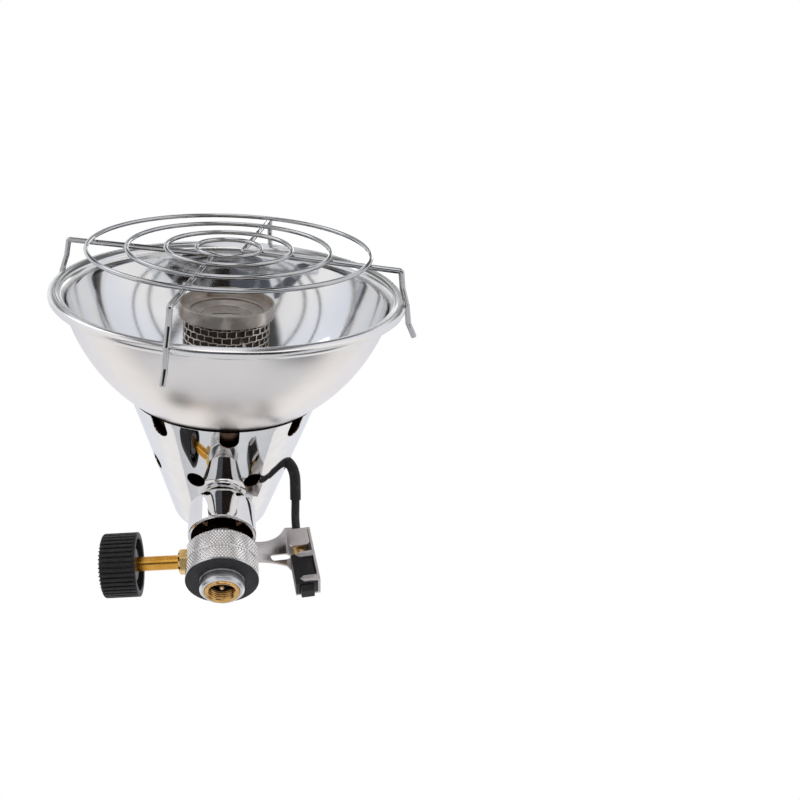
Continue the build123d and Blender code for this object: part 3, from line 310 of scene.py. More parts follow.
M_CONE = plated("cone_plating", (0.88, 0.88, 0.885), dent=0.05, frame=HEAD)
M_CUP = plated("cup_plating", (0.85, 0.835, 0.82), dent=0.01)
# painted shade: this dark brown stands in for the shade inside the cup and the cone
M_INSIDE = plated("inside_shade_plating", (0.20, 0.12, 0.08), smudge=0.2, dent=0.01, rough=0.2,
                  frame=HEAD)
M_NECK = plated("neck_plating", (0.80, 0.80, 0.80), smudge=0.06, dent=0.005)
M_COLLAR = turned("collar_plating", (0.86, 0.86, 0.885), (0.74, 0.74, 0.77), rough=0.24, pitch=0.3)
M_WIRE = plated("wire_plating", (0.58, 0.58, 0.585), smudge=0.08, dent=0.004, frame=HEAD)
# the dark band on dish_outside next to the cone's front edge is painted shade
M_DISH_OUT = spun("dish_outside", (0.93, 0.90, 0.875), 0.27, 0.05, 0.35, 0.004,
                  junction_shade=(36.2, 38.8))
M_DISH_IN = spun("dish_inside", (0.84, 0.85, 0.865), 0.05, 0.03, 0.3, 0.0015)
M_DISH_RIM = spun("dish_rim", (0.87, 0.86, 0.85), 0.15, 0.05, 0.3, 0.002)
# body_alloy's grooves are darkened as painted shade
M_BODY = turned("body_alloy", (0.93, 0.915, 0.905), (0.84, 0.825, 0.815), rough=0.16, pitch=0.4,
                depth=0.001, grooved=(14.58, 14.86))
M_BEVEL = turned("bevel_alloy", (0.95, 0.94, 0.93), (0.88, 0.87, 0.86), pitch=0.4, depth=0.001)
M_BRASS = turned("brass", (0.82, 0.56, 0.24), (0.64, 0.38, 0.13), rough=0.14)
M_PIN = turned("pin_brass", (0.96, 0.76, 0.60), (0.90, 0.66, 0.48), rough=0.38)
# thread_brass darkens deep in the hole as painted shade
M_THREAD = turned("thread_brass", (0.86, 0.54, 0.21), (0.68, 0.37, 0.11), rough=0.16,
                  deep=(2.9, 4.0))
M_SPINDLE = turned("spindle_brass", (0.86, 0.46, 0.09), (0.66, 0.28, 0.03), tint_scale=90)
M_NUT = turned("nut_brass", (0.86, 0.62, 0.28), (0.66, 0.42, 0.15), rough=0.15)
M_GASKET = moulded("gasket_rubber", (0.017, 0.017, 0.019), 0.5, grain=0.01, shine=0.35)
M_KNOB = moulded("knob_black", (0.016, 0.015, 0.016), 0.40, grain=0.014, shine=0.3)
M_BOSS = moulded("knob_boss_grey", (0.10, 0.10, 0.11), 0.4, grain=0.01)
M_IGNITER = moulded("igniter_black", (0.016, 0.015, 0.016), 0.36, grain=0.012, shine=0.3)
M_LEAD = moulded("lead_black", (0.020, 0.019, 0.019), 0.45, grain=0.02, grain_scale=1500,
                 shine=0.3)
M_SLEEVE = moulded("sleeve_black", (0.016, 0.015, 0.016), 0.5, grain=0.03, grain_scale=1700,
                   shine=0.3)
M_DIAL = painted("dial_white", (0.86, 0.85, 0.84), (0.80, 0.79, 0.78), 0.3)
M_RED = painted("dial_red", (0.78, 0.045, 0.015), (0.66, 0.03, 0.01), 0.35)
M_INK = painted("dial_ink", (0.03, 0.03, 0.035), (0.06, 0.06, 0.065), 0.4)
M_STEEL = brushed("tube_steel", (0.55, 0.54, 0.52), (0.42, 0.41, 0.40))
M_BRACKET = brushed("bracket_sheet", (0.74, 0.70, 0.69), (0.66, 0.62, 0.61), rough=0.40)
M_CAP = heat_tinted("burner_cap_steel", (0.58, 0.54, 0.49), (0.40, 0.35, 0.31),
                    (0.20, 0.085, 0.03), 0.26)
M_MESH = heat_tinted("burner_wire_steel", (0.84, 0.79, 0.73), (0.60, 0.54, 0.48),
                     (0.32, 0.19, 0.11), 0.2)
M_CORE = heat_tinted("burner_core", (0.13, 0.10, 0.085), (0.05, 0.038, 0.032),
                     (0.12, 0.05, 0.025), 0.5)
M_CERAMIC = painted("ceramic_white", (0.80, 0.77, 0.72), (0.66, 0.62, 0.56), 0.45)


# ---- mesh helpers
def new_object(name, data, matrix=STACK):
    """Object of a mesh, curve, light or camera, linked to the scene."""
    obj = bpy.data.objects.new(name, data)
    bpy.context.scene.collection.objects.link(obj)
    obj.matrix_world = matrix
    return obj


def evaluated_mesh(obj):
    """New mesh of an object as its modifiers or its curve make it."""
    bpy.context.view_layer.update()
    graph = bpy.context.evaluated_depsgraph_get()
    return bpy.data.meshes.new_from_object(obj.evaluated_get(graph))


def smooth_faces(mesh, sharp=35):
    """Smooth shading, with edges over an angle in degrees kept sharp."""
    mesh.polygons.foreach_set("use_smooth", [True] * len(mesh.polygons))
    if sharp:
        mesh.set_sharp_from_angle(angle=radians(sharp))


def dress(piece, node, slot, body="heater"):
    """Puts a piece on its body, in the place of a solid; slot is not used."""
    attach(piece, body)
    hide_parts(node)


def mesh_object(name, verts, faces, matrix=STACK, materials=(), smooth=True, sharp=35):
    """Object of a mesh in a local frame; verts are in millimetres."""
    mesh = bpy.data.meshes.new(name)
    mesh.from_pydata([tuple(c * MM for c in v) for v in verts], [], [tuple(f) for f in faces])
    mesh.update()
    for m in materials:
        mesh.materials.append(m)
    if smooth:
        smooth_faces(mesh, sharp)
    return new_object(name, mesh, matrix)


def rounded(points, radii, steps=6):
    """2-D corner points with each corner rounded; a radius of 0 keeps it sharp."""
    out = []
    n = len(points)
    for i, (point, radius) in enumerate(zip(points, radii)):
        p = Vector(point)
        if radius <= 0:
            out.append(tuple(p))
            continue
        a = Vector(points[i - 1]) - p
        b = Vector(points[(i + 1) % n]) - p
        half = a.angle(b) / 2
        run = min(radius / tan(half), 0.49 * a.length, 0.49 * b.length)
        reach = run * tan(half)
        ua, ub = a.normalized(), b.normalized()
        centre = p + (ua + ub).normalized() * hypot(run, reach)
        start = p + ua * run - centre
        sweep = pi - 2 * half
        turn = 1 if (-ua).cross(ub) > 0 else -1
        for k in range(steps + 1):
            angle = turn * sweep * k / steps
            c, s = cos(angle), sin(angle)
            out.append((centre.x + start.x * c - start.y * s, centre.y + start.x * s + start.y * c))
    return out


def dense(points, step):
    """Points with long runs divided to a step, closed."""
    out = []
    for a, b in zip(points, points[1:] + points[:1]):
        a, b = Vector(a), Vector(b)
        count = max(1, ceil((b - a).length / step))
        out += [tuple(a.lerp(b, k / count)) for k in range(count)]
    return out


def lathe(name, profile, matrix, steps, materials=(), radius_at=None, sharp=35, slots=None,
          angles=None):
    """Closed profile of (radius, along) turned about the local Z axis. radius_at moves its
    points, slots gives the material of each of its runs."""
    count = len(profile)
    verts, faces = [], []
    angles = angles or [tau * k / steps for k in range(steps)]
    steps = len(angles)
    for angle in angles:
        c, s = cos(angle), sin(angle)
        for i, (r, z) in enumerate(profile):
            if radius_at:
                r, z = radius_at(angle, r, z, i)
            verts.append((r * c, r * s, z))
    for k in range(steps):
        a, b = k * count, ((k + 1) % steps) * count
        for i in range(count):
            j = (i + 1) % count
            faces.append((a + i, b + i, b + j, a + j))
    obj = mesh_object(name, verts, faces, matrix, materials, sharp=sharp)
    if slots:
        obj.data.polygons.foreach_set(
            "material_index", [slots(i) for _ in range(steps) for i in range(count)]
        )
    return obj


def disc_stack(name, profile, matrix, steps, materials):
    """Open profile that starts and ends on the axis, turned about local Z."""
    inner = profile[1:-1]
    count = len(inner)
    verts = [(0, 0, profile[0][1]), (0, 0, profile[-1][1])]
    faces = []
    for k in range(steps):
        angle = tau * k / steps
        verts += [(r * cos(angle), r * sin(angle), z) for r, z in inner]
    for k in range(steps):
        a, b = 2 + k * count, 2 + ((k + 1) % steps) * count
        faces.append((0, b, a))
        faces += [(a + i, b + i, b + i + 1, a + i + 1) for i in range(count - 1)]
        faces.append((1, a + count - 1, b + count - 1))
    return mesh_object(name, verts, faces, matrix, materials)


def tube(name, path, radius, matrix, steps, materials, closed=False, cap_round=0.2):
    """Round wire along a path of 3-D points."""
    points = [Vector(p) for p in path]
    n = len(points)
    tangents = []
    for i in range(n):
        before = points[i - 1] if closed or i else points[0]
        after = points[(i + 1) % n] if closed or i < n - 1 else points[-1]
        tangents.append((after - before).normalized())
    normal = tangents[0].orthogonal().normalized()
    verts, faces, rings = [], [], []
    rows = [(i, 1.0, 0.0) for i in range(n)]
    if not closed:
        share = cap_round / radius
        rows = ([(0, 1 - share, 0.0), (0, 1 - share * 0.3, cap_round * 0.3)]
                + [(0, 1.0, cap_round)] + rows[1:-1] + [(n - 1, 1.0, -cap_round)]
                + [(n - 1, 1 - share * 0.3, -cap_round * 0.3), (n - 1, 1 - share, 0.0)])
    for i, share, slide in rows:
        t = tangents[i]
        normal = (normal - t * normal.dot(t)).normalized()
        across = t.cross(normal)
        base = points[i] + t * slide
        rings.append(len(verts))
        for k in range(steps):
            angle = tau * k / steps
            out = normal * cos(angle) + across * sin(angle)
            verts.append(base + out * radius * share)
    pairs = list(zip(rings, rings[1:])) + ([(rings[-1], rings[0])] if closed else [])
    for a, b in pairs:
        faces += [(a + k, a + (k + 1) % steps, b + (k + 1) % steps, b + k) for k in range(steps)]
    if not closed:
        faces.append([rings[0] + k for k in range(steps)][::-1])
        faces.append([rings[-1] + k for k in range(steps)])
    return mesh_object(name, verts, faces, matrix, materials)


def bent_path(points, radii, steps=8):
    """Wire path of straight runs and tangent arcs."""
    pts = [Vector(p) for p in points]
    out = [pts[0]]
    for before, p, after, radius in zip(pts, pts[1:], pts[2:], radii):
        a, b = (before - p).normalized(), (after - p).normalized()
        half = a.angle(b) / 2
        run = radius / tan(half)
        centre = p + (a + b).normalized() * (radius / sin(half))
        start, end = p + a * run - centre, p + b * run - centre
        for k in range(steps + 1):
            out.append(centre + start.slerp(end, k / steps) if start.angle(end) > 1e-4 else p)
    return out + [pts[-1]]


def settle(piece):
    """Puts a piece's frame into its mesh, so that its box is as tight as its shape."""
    piece.data.transform(piece.matrix_world)
    piece.matrix_world = Matrix()
    return piece


def join(objects, name):
    """One object from several."""
    bpy.ops.object.select_all(action="DESELECT")
    for o in objects:
        o.select_set(True)
    bpy.context.view_layer.objects.active = objects[0]
    bpy.ops.object.join()
    objects[0].name = name
    return objects[0]


def apply_modifiers(obj):
    """Bakes the object's modifiers into its mesh."""
    mesh = evaluated_mesh(obj)
    obj.modifiers.clear()
    obj.data = mesh


def cut(obj, cutters):
    """Takes the cutters out of the object and deletes them."""
    bpy.context.view_layer.update()
    cutter = join(cutters, cutters[0].name) if len(cutters) > 1 else cutters[0]
    modifier = obj.modifiers.new("cut", "BOOLEAN")
    modifier.operation = "DIFFERENCE"
    modifier.solver = "EXACT"
    modifier.object = cutter
    apply_modifiers(obj)
    bpy.data.objects.remove(cutter)


def prism(name, outline, low, high, matrix):
    """Straight prism of a 2-D outline, in millimetres."""
    n = len(outline)
    verts = [(x, y, low) for x, y in outline] + [(x, y, high) for x, y in outline]
    faces = [list(range(n))[::-1], list(range(n, 2 * n))]
    faces += [(i, (i + 1) % n, n + (i + 1) % n, n + i) for i in range(n)]
    return mesh_object(name, verts, faces, matrix, smooth=False)


def circle(radius, steps, x=0.0, y=0.0):
    """Points round a circle about a place."""
    angles = [tau * k / steps for k in range(steps)]
    return [(x + radius * cos(a), y + radius * sin(a)) for a in angles]


def lathe_normals(obj, profile):
    """Gives the faces left of a lathed surface the exact normals of its profile, so that
    cuts in it don't disturb its reflections."""
    pts = np.array(profile, float)
    seg = np.roll(pts, -1, axis=0) - pts
    length = np.hypot(*seg.T)
    seg_normal = np.stack([seg[:, 1], -seg[:, 0]], 1) / length[:, None]
    before, after = np.roll(seg_normal, 1, axis=0), np.roll(seg_normal, -1, axis=0)

    def blended(neighbour, smooth):
        total = np.where(smooth[:, None], seg_normal + neighbour, seg_normal)
        return total / np.hypot(*total.T)[:, None]

    smooth = (seg_normal * before).sum(1) > cos(radians(35))
    start_normal = blended(before, smooth)
    end_normal = blended(after, np.roll(smooth, -1))
    mesh = obj.data
    normals = []
    for polygon in mesh.polygons:
        fn = polygon.normal
        for index in polygon.loop_indices:
            co = mesh.vertices[mesh.loops[index].vertex_index].co / MM
            radius = hypot(co.x, co.y)
            out = Vector((co.x, co.y)) / max(radius, 1e-9)
            facing = np.array([fn.x * out.x + fn.y * out.y, fn.z])
            p = np.array([radius, co.z])
            t = np.clip(((p - pts) * seg).sum(1) / length**2, 0, 1)
            gap = np.hypot(*(pts + seg * t[:, None] - p).T)
            gap[seg_normal @ facing < 0.9] = 9.0
            best = int(gap.argmin())
            if gap[best] > 0.05:
                normals.append((0, 0, 0))
                continue
            n = start_normal[best] * (1 - t[best]) + end_normal[best] * t[best]
            normals.append(Vector((out.x * n[0], out.y * n[0], n[1])).normalized())
    mesh.polygons.foreach_set("use_smooth", [True] * len(mesh.polygons))
    mesh.normals_split_custom_set(normals)


# ---- camera, floor and light
def camera():
    """Camera at the place and with the lens from which the photograph was taken."""
    data = bpy.data.cameras.new("camera")
    right = Vector((0.996812, 0.079672, -0.004372))
    up = Vector((0.060315, -0.716493, 0.694982))
    back = Vector((0.052238, -0.693029, -0.719014))
    place = Matrix((right, up, back)).transposed().to_4x4()
    place.translation = Vector((0.024347, -0.289724, -0.197023))
    data.sensor_width, data.lens = 36.0, 38.8109
    data.shift_x, data.shift_y = 0.216145, 0.013757
    data.clip_start, data.clip_end = 0.01, 20
    bpy.context.scene.camera = new_object("camera", data, place)


def world_light():
    """Soft world light; the camera and bright or clear surfaces see white instead."""
    world = bpy.data.worlds.new("studio")
    bpy.context.scene.world = world
    world.use_nodes = True
    tree = world.node_tree
    tree.nodes.clear()

    def add(kind, *inputs, **settings):
        return add_node(tree, kind, dict(enumerate(inputs)), **settings).outputs

    rays = add("LightPath")
    seen = add("Math", rays["Is Camera Ray"], rays["Is Glossy Ray"], operation="MAXIMUM")
    seen = add("Math", seen[0], rays["Is Transmission Ray"], operation="MAXIMUM")
    soft = add("Background", (0.93, 0.95, 1.0, 1), 0.55)
    white = add("Background", (1, 1, 1, 1), 1.0)
    add("OutputWorld", add("MixShader", seen[0], soft[0], white[0])[0])


def softbox(name, position, width, height, power):
    """Rectangular area light that looks at the heater."""
    data = bpy.data.lights.new(name, "AREA")
    data.shape = "RECTANGLE"
    data.size, data.size_y = width, height
    data.energy = power
    light = new_object(name, data)
    light.location = position
    aim = Vector((0, -0.03, 0.06)) - Vector(position)
    light.rotation_euler = aim.to_track_quat("-Z", "Y").to_euler()


def mirrored_only(piece, material):
    """Stage piece that nothing but bright metal shows."""
    piece.data.materials.append(material)
    piece.visible_camera = piece.visible_diffuse = piece.visible_shadow = False
    piece.visible_transmission = False


def glowing_cloth(name, stops, levels=None):
    """Cloth with tones round local Z and, with levels, tints along it."""
    cloth = Shader(name, Roughness=1.0, Base_Color=(0, 0, 0, 1), Emission_Strength=1.0,
                   Specular_IOR_Level=0.0)
    turn = cloth.add("TexGradient", {"Vector": cloth.place()}, gradient_type="RADIAL")
    glow = cloth.ramp(turn.outputs["Fac"], stops)
    if levels:
        height = cloth.add("SeparateXYZ", {"Vector": cloth.coords}).outputs["Z"]
        rise = cloth.spread(height, 0.0, 1.0, -0.33, 1.25)
        glow = cloth.mix(1.0, glow, cloth.ramp(rise, levels), "MULTIPLY")
    cloth.link(glow, "Emission Color")
    return cloth.material


def stage_scene():
    """Camera, floor, lights, and what the bright metal mirrors."""
    bpy.context.scene.view_settings.view_transform = "Standard"
    camera()
    world_light()

    half, floor_level = 3000, -0.34
    floor = mesh_object(
        "floor", [(-half, -half, 0), (half, -half, 0), (half, half, 0), (-half, half, 0)],
        [(0, 1, 2, 3)], Matrix.Translation((0, 0, floor_level)), smooth=False,
    )
    pale = Shader("floor_pale", Roughness=0.6)
    pale.link(pale.mix(pale.noise(6), (0.94, 0.94, 0.94), (0.92, 0.92, 0.92)), "Base Color")
    floor.data.materials.append(pale.material)

    softbox("key", (-0.9, -1.0, 0.7), 0.9, 0.9, 3.5)
    softbox("fill", (1.1, -0.8, 0.1), 0.8, 1.2, 1.8)
    softbox("top", (0.1, 0.2, 1.3), 1.0, 1.0, 3.0)
    softbox("under", (0.2, -0.7, -0.28), 0.7, 0.4, 0.6)

    shade = moulded("card_dark", (0.016, 0.011, 0.009), 0.9, shine=0.0)
    half_shade = moulded("card_grey", (0.10, 0.105, 0.12), 0.9, worn=(0.14, 0.145, 0.16),
                         shine=0.0)

    # tent: tones go round from the left, tints go up
    reach, bottom, top, cloth = 1300, -330, 1290, 2
    strips = (
        (0.00, 0.96), (0.10, 1.0), (0.165, 0.95), (0.175, 0.06), (0.205, 0.06), (0.215, 0.95),
        (0.25, 1.0), (0.285, 0.95), (0.295, 0.06), (0.33, 0.06), (0.34, 0.95), (0.42, 1.0),
        (0.50, 0.96), (0.60, 0.94), (0.75, 0.98), (0.90, 0.94), (1.00, 0.96),
    )
    levels = (
        (0.0, (0.94, 0.915, 0.90)), (0.25, (0.96, 0.94, 0.93)), (0.45, (0.87, 0.875, 0.92)),
        (0.7, (0.82, 0.835, 0.90)), (1.0, (0.82, 0.83, 0.89)),
    )
    tent = lathe("tent", [(reach, bottom), (reach, top), (reach + cloth, top),
                          (reach + cloth, bottom)], STACK, 96)
    tones = [(place, (tone, tone, tone)) for place, tone in strips]
    mirrored_only(tent, glowing_cloth("tent_cloth", tones, levels))

    # ceiling of lit and dark wedges, for the inside of the dish
    wedges = (
        (0.00, 0.95), (0.035, 0.95), (0.045, 0.10), (0.10, 0.12), (0.11, 0.90), (0.15, 0.90),
        (0.16, 0.10), (0.235, 0.12), (0.245, 0.90), (0.30, 0.90), (0.31, 0.10), (0.40, 0.10),
        (0.41, 0.90), (0.455, 0.90), (0.465, 0.14), (0.53, 0.14), (0.54, 0.95), (0.60, 0.95),
        (0.61, 0.12), (0.69, 0.12), (0.70, 0.95), (0.79, 0.95), (0.80, 0.12), (0.87, 0.12),
        (0.88, 0.95), (1.00, 0.95),
    )
    ceiling = lathe("ceiling", [(10, reach), (reach, reach), (reach, reach + cloth),
                                (10, reach + cloth)], STACK, 96)
    tones = [(place, (tone * 0.95, tone * 0.98, tone)) for place, tone in wedges]
    mirrored_only(ceiling, glowing_cloth("ceiling_cloth", tones))

    # dark cards on the floor, which the cup mirrors by way of the cone; each goes from one
    # bearing to another, in degrees to the right of the front, and from one radius to another
    for number, (start, end, near, far, material) in enumerate((
        (-112, -86, 260, 900, shade), (-31, 3, 260, 900, half_shade), (3, 60, 260, 900, shade),
        (104, 134, 260, 900, half_shade), (-86, -31, 900, reach, half_shade),
    )):
        arc = [radians(start + (end - start) * k / 12 - 90) for k in range(13)]
        outline = [(near * cos(a), near * sin(a)) for a in arc]
        outline += [(far * cos(a), far * sin(a)) for a in arc[::-1]]
        card = prism(f"dark_card_{number}", outline, bottom, bottom + cloth, STACK)
        mirrored_only(card, material)


# ---- canister connection
def thread_insert():
    """Brass insert with its real thread cut into the wall."""
    pitch, minor, major, outer = 0.907, 5.2, 5.556, 7.05
    low, thread_end, floor, high = -0.7, 5.0, 7.3, 10.3
    steps = 96
    thread_rows = 88
    thread_start = low + 1.0
    inner = [(6.2, low)]
    inner += [(minor, thread_start + (thread_end - thread_start) * k / thread_rows)
              for k in range(thread_rows + 1)]
    first, last = 2, len(inner) - 1
    profile = inner + [(5.5, thread_end + 0.05), (5.5, floor), (1.3, floor), (1.3, high - 1.6),
                       (2.3, high - 1.6), (2.3, high), (outer, high), (outer, low + 0.45),
                       (outer - 0.35, low)]

    def cut_thread(angle, r, z, i):
        if first <= i < last:
            turn = (z / pitch - angle / tau) % 1.0
            r += (major - minor) * max(0.0, 1 - abs(turn - 0.5) / 0.38)
        return r, z

    piece = lathe("thread_insert_brass", profile, STACK, steps, [M_THREAD], cut_thread, sharp=50)
    dress(piece, "thread_insert", "brass")


def depressor_pin():
    """Pin with a domed tip that reaches nearly to the mouth."""
    tip, neck, shoulder, top = 1.2, 5.2, 8.7, 10.3
    dome = [(1.0 * sin(a), tip + 1.0 - cos(a)) for a in np.linspace(0.1, pi / 2, 9)]
    profile = [(0, tip)] + dome + [(1.0, neck), (1.25, neck + 0.3), (1.25, shoulder),
                                   (2.25, shoulder), (2.25, top), (0, top)]
    piece = disc_stack("depressor_pin_tip", profile, STACK, 48, [M_PIN])
    dress(piece, "depressor_pin", "brass")


def collar():
    """Collar with a bevelled lip and a shallow groove under the gasket."""
    points = [(7.1, 0.35), (7.45, 0.0), (8.15, 0.0), (9.1, 0.95), (9.1, 4.3), (8.8, 4.4),
              (8.8, 4.62), (9.1, 4.7), (9.1, 8.7), (7.1, 8.7)]
    outline = rounded(points, [0.1, 0.15, 0.3, 0.25, 0.08, 0.05, 0.05, 0.08, 0.2, 0.2], steps=4)
    piece = lathe("canister_collar_lip", outline, STACK, 128, [M_COLLAR])
    dress(piece, "canister_collar", "collar_plate")


def gasket():
    """Flat rubber ring on the body's bottom."""
    outline = rounded([(9.15, 5.0), (14.95, 5.0), (14.95, 5.5), (9.15, 5.5)],
                      [0.1, 0.22, 0.1, 0.1])
    piece = lathe("canister_gasket_ring", outline, STACK, 128, [M_GASKET])
    dress(piece, "canister_gasket", "rubber")


# ---- valve body
def valve_body():
    """Body with two bands of diamond knurling, a groove and a flat for the gland nut."""
    around, rise, depth = 68, 1.7, 0.42
    bands = ((0.85, 6.6), (7.3, 14.2))
    profile = [(9.15, 0), (14.3, 0), (15.0, 0.75)]
    band_rows = set()
    for low, high in bands:
        rows = round((high - low) / 0.17)
        if low > 1:
            profile += [(14.5, 6.85), (14.5, 7.05)]
        for k in range(rows + 1):
            band_rows.add(len(profile))
            profile.append((15.0, low + (high - low) * k / rows))
    profile += [(14.5, 14.5), (4.05, 14.5), (4.05, 12.9), (9.15, 12.9)]
    flat_reach, flat_radius = 14.0, 6.0

    def knurl(angle, r, z, i):
        if i in band_rows:
            u, v = angle * around / tau, z / rise
            ridge = min(abs((u + v) % 1 - 0.5), abs((u - v) % 1 - 0.5)) * 2
            edge = min(min(abs(z - e) for band in bands for e in band) / 0.3, 1)
            r -= depth * (1 - min(ridge / 0.9, 1)) * (0.4 + 0.6 * edge)
        return r, z

    piece = lathe("valve_body_knurled", profile, STACK, around * 10, [M_BODY, M_BEVEL], knurl,
                  slots=lambda i: 0 if {i, i + 1} <= band_rows else 1, sharp=30)
    for vertex in piece.data.vertices:
        vertex.co.z += BODY_BOTTOM * MM
        y, z = vertex.co.y / MM, vertex.co.z / MM - KNOB_HEIGHT
        if vertex.co.x < -flat_reach * MM and hypot(y, z) < flat_radius:
            vertex.co.x = -flat_reach * MM
    dress(piece, "valve_body", "valve_alloy")


# ---- knob and dial
def knob():
    """Ribbed knob with rounded front, hollow back and boss."""
    back, front, radius, dial_radius = KNOB_BACK, KNOB_FRONT, 13.2, 10.9
    ribs, rib_depth = 40, 0.9
    hollow, bore, floor, front_round = 10.7, 3.0, back + 9.5, 2.0
    seat = front - DIAL_SINK
    points = [(hollow, back), (radius, back), (radius, front), (dial_radius, front),
              (dial_radius, seat), (bore, seat), (bore, floor), (hollow, floor)]
    outline = dense(rounded(points, [0.3, 0.3, front_round, 0.2, 0, 0, 0, 0.5], steps=8), 1.2)
    # places across one rib and how deep the surface lies there, as shares
    across = (0.0, 0.14, 0.25, 0.305, 0.33, 0.36, 0.43, 0.5, 0.57, 0.64, 0.67, 0.695, 0.75, 0.86)
    sunk = (0.0, 0.02, 0.06, 0.16, 0.6, 0.94, 1.0, 1.0, 1.0, 0.94, 0.6, 0.16, 0.06, 0.02)
    angles = [tau * (rib + a) / ribs for rib in range(ribs) for a in across]

    def ribbed(angle, r, z, i):
        if r > dial_radius + 0.15 and z > back + 0.3:
            place = (angle * ribs / tau) % 1
            depth = rib_depth * sunk[min(range(len(across)), key=lambda k: abs(across[k] - place))]
            share = min(1.0, (z - back - 0.3) / 0.3)
            rise = max(0.0, (z - (front - front_round)) / front_round)
            # the grooves run out over the rounded front
            r -= depth * share * (1 - 0.5 * rise)
            z -= depth * 1.1 * rise * rise * min(1.0, (r - dial_radius) / 0.5)
            r = max(r, dial_radius + 0.12)
        return r, z

    shell = lathe("knob_shell", outline, KNOB, 0, [M_KNOB], ribbed, sharp=50, angles=angles)
    pieces = [shell]
    for name, inner, outer, depth, corners in (
        ("knob_boss", 3.02, 6.75, 1.4, (0.3, 0.5)), ("knob_rib_ring", 8.3, 9.0, 3.0, (0.2, 0.2)),
    ):
        start, end = back + depth, back + 9.6
        outline = rounded([(inner, start), (outer, start), (outer, end), (inner, end)],
                          [*corners, 0, 0])
        pieces.append(lathe(name, outline, KNOB, 96, [M_BOSS]))
    for piece in pieces:
        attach(piece, "control")
    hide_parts("knob")


def dial():
    """White dial with a tapering red arc from OFF to ON, and the two words."""
    radius, low, high = 10.85, KNOB_FRONT - DIAL_SINK, KNOB_FRONT + 0.16

    def at(clock_degrees, r):
        """Place at a clock angle: 0 at the top, growing clockwise as one looks at the dial."""
        a = radians(clock_degrees)
        return (-r * sin(a), r * cos(a))

    disc = disc_stack("dial_disc", [(0, low), (radius, low), (radius, high - 0.12),
                                    (radius - 0.12, high), (0, high)], KNOB, 128, [M_DIAL])
    dress(disc, "knob_dial", "dial_white", "control")
    # the arc runs over the top and tapers towards its end
    steps = 72
    start, end, outer = -78.0, 101.0, 8.6
    inner_edge, outer_edge = [], []
    for k in range(steps + 1):
        share = k / steps
        clock = start + (end - start) * share
        width = 2.55 * (1 - share ** 1.6) + 0.05
        outer_edge.append(at(clock, outer))
        inner_edge.append(at(clock, outer - width))
    arc = prism("dial_arc", outer_edge + inner_edge[::-1], high - 0.02, high + 0.03, KNOB)
    arc.data.materials.append(M_RED)
    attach(arc, "control")
    for word, clock, size, narrow in (("ON", -104.0, 4.1, 0.68), ("OFF", 121.0, 3.3, 0.74)):
        curve = bpy.data.curves.new("dial_" + word.lower(), "FONT")
        curve.body = word
        curve.size = size * MM
        curve.align_x, curve.align_y = "CENTER", "CENTER"
        curve.extrude = 0.03 * MM
        curve.offset = 0.05 * MM
        x, y = at(clock, 7.6)
        # letters' tops point outward
        turn = Matrix.Rotation(atan2(y, x) - pi / 2, 4, "Z")
        place = Matrix.Translation((x * MM, y * MM, (high + 0.01) * MM)) @ turn
        place = KNOB @ place @ Matrix.Diagonal((narrow, 1, 1, 1))
        text = new_object("dial_" + word.lower(), curve, place)
        mesh = evaluated_mesh(text)
        bpy.data.objects.remove(text)
        mesh.materials.clear()
        mesh.materials.append(M_INK)
        letters = new_object("dial_word_" + word.lower(), mesh, place)
        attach(letters, "control")


# ---- cup, cone and dish
def joint_cup():
    """Plated cup under the cone; its inner faces are dark as painted shade."""
    points = [(13.1, 27.25), (14.45, 27.25), (14.45, 43.93), (6.1, 43.93),
              (6.1, 42.93), (13.45, 42.93), (13.45, 28.2), (13.1, 28.2)]
    outline = rounded(points, [0.2, 1.3, 3.6, 0.1, 0.1, 2.6, 0.6, 0.1], steps=10)
    profile = dense(outline, 2.0)
    # inner faces from here on get the second material: painted shade
    inner_from = next(i for i, (r, z) in enumerate(profile) if r < 6.4 and z < 43.4)
    piece = lathe("joint_cup_shell", profile, STACK, 160, [M_CUP, M_INSIDE],
                  slots=lambda i: 1 if i >= inner_from else 0)
    dress(piece, "joint_cup", "plated")


CONE_SLOPE = tan(pi / 2 - HEAD_TILT)
CONE_FRONT, CONE_FRONT_RADIUS, CONE_BACK = 34.6, 41.2, -28.3


def cone_radius(along):
    """Outer radius of the cone at a place along the head's axis."""
    return CONE_FRONT_RADIUS - CONE_SLOPE * (CONE_FRONT - along)


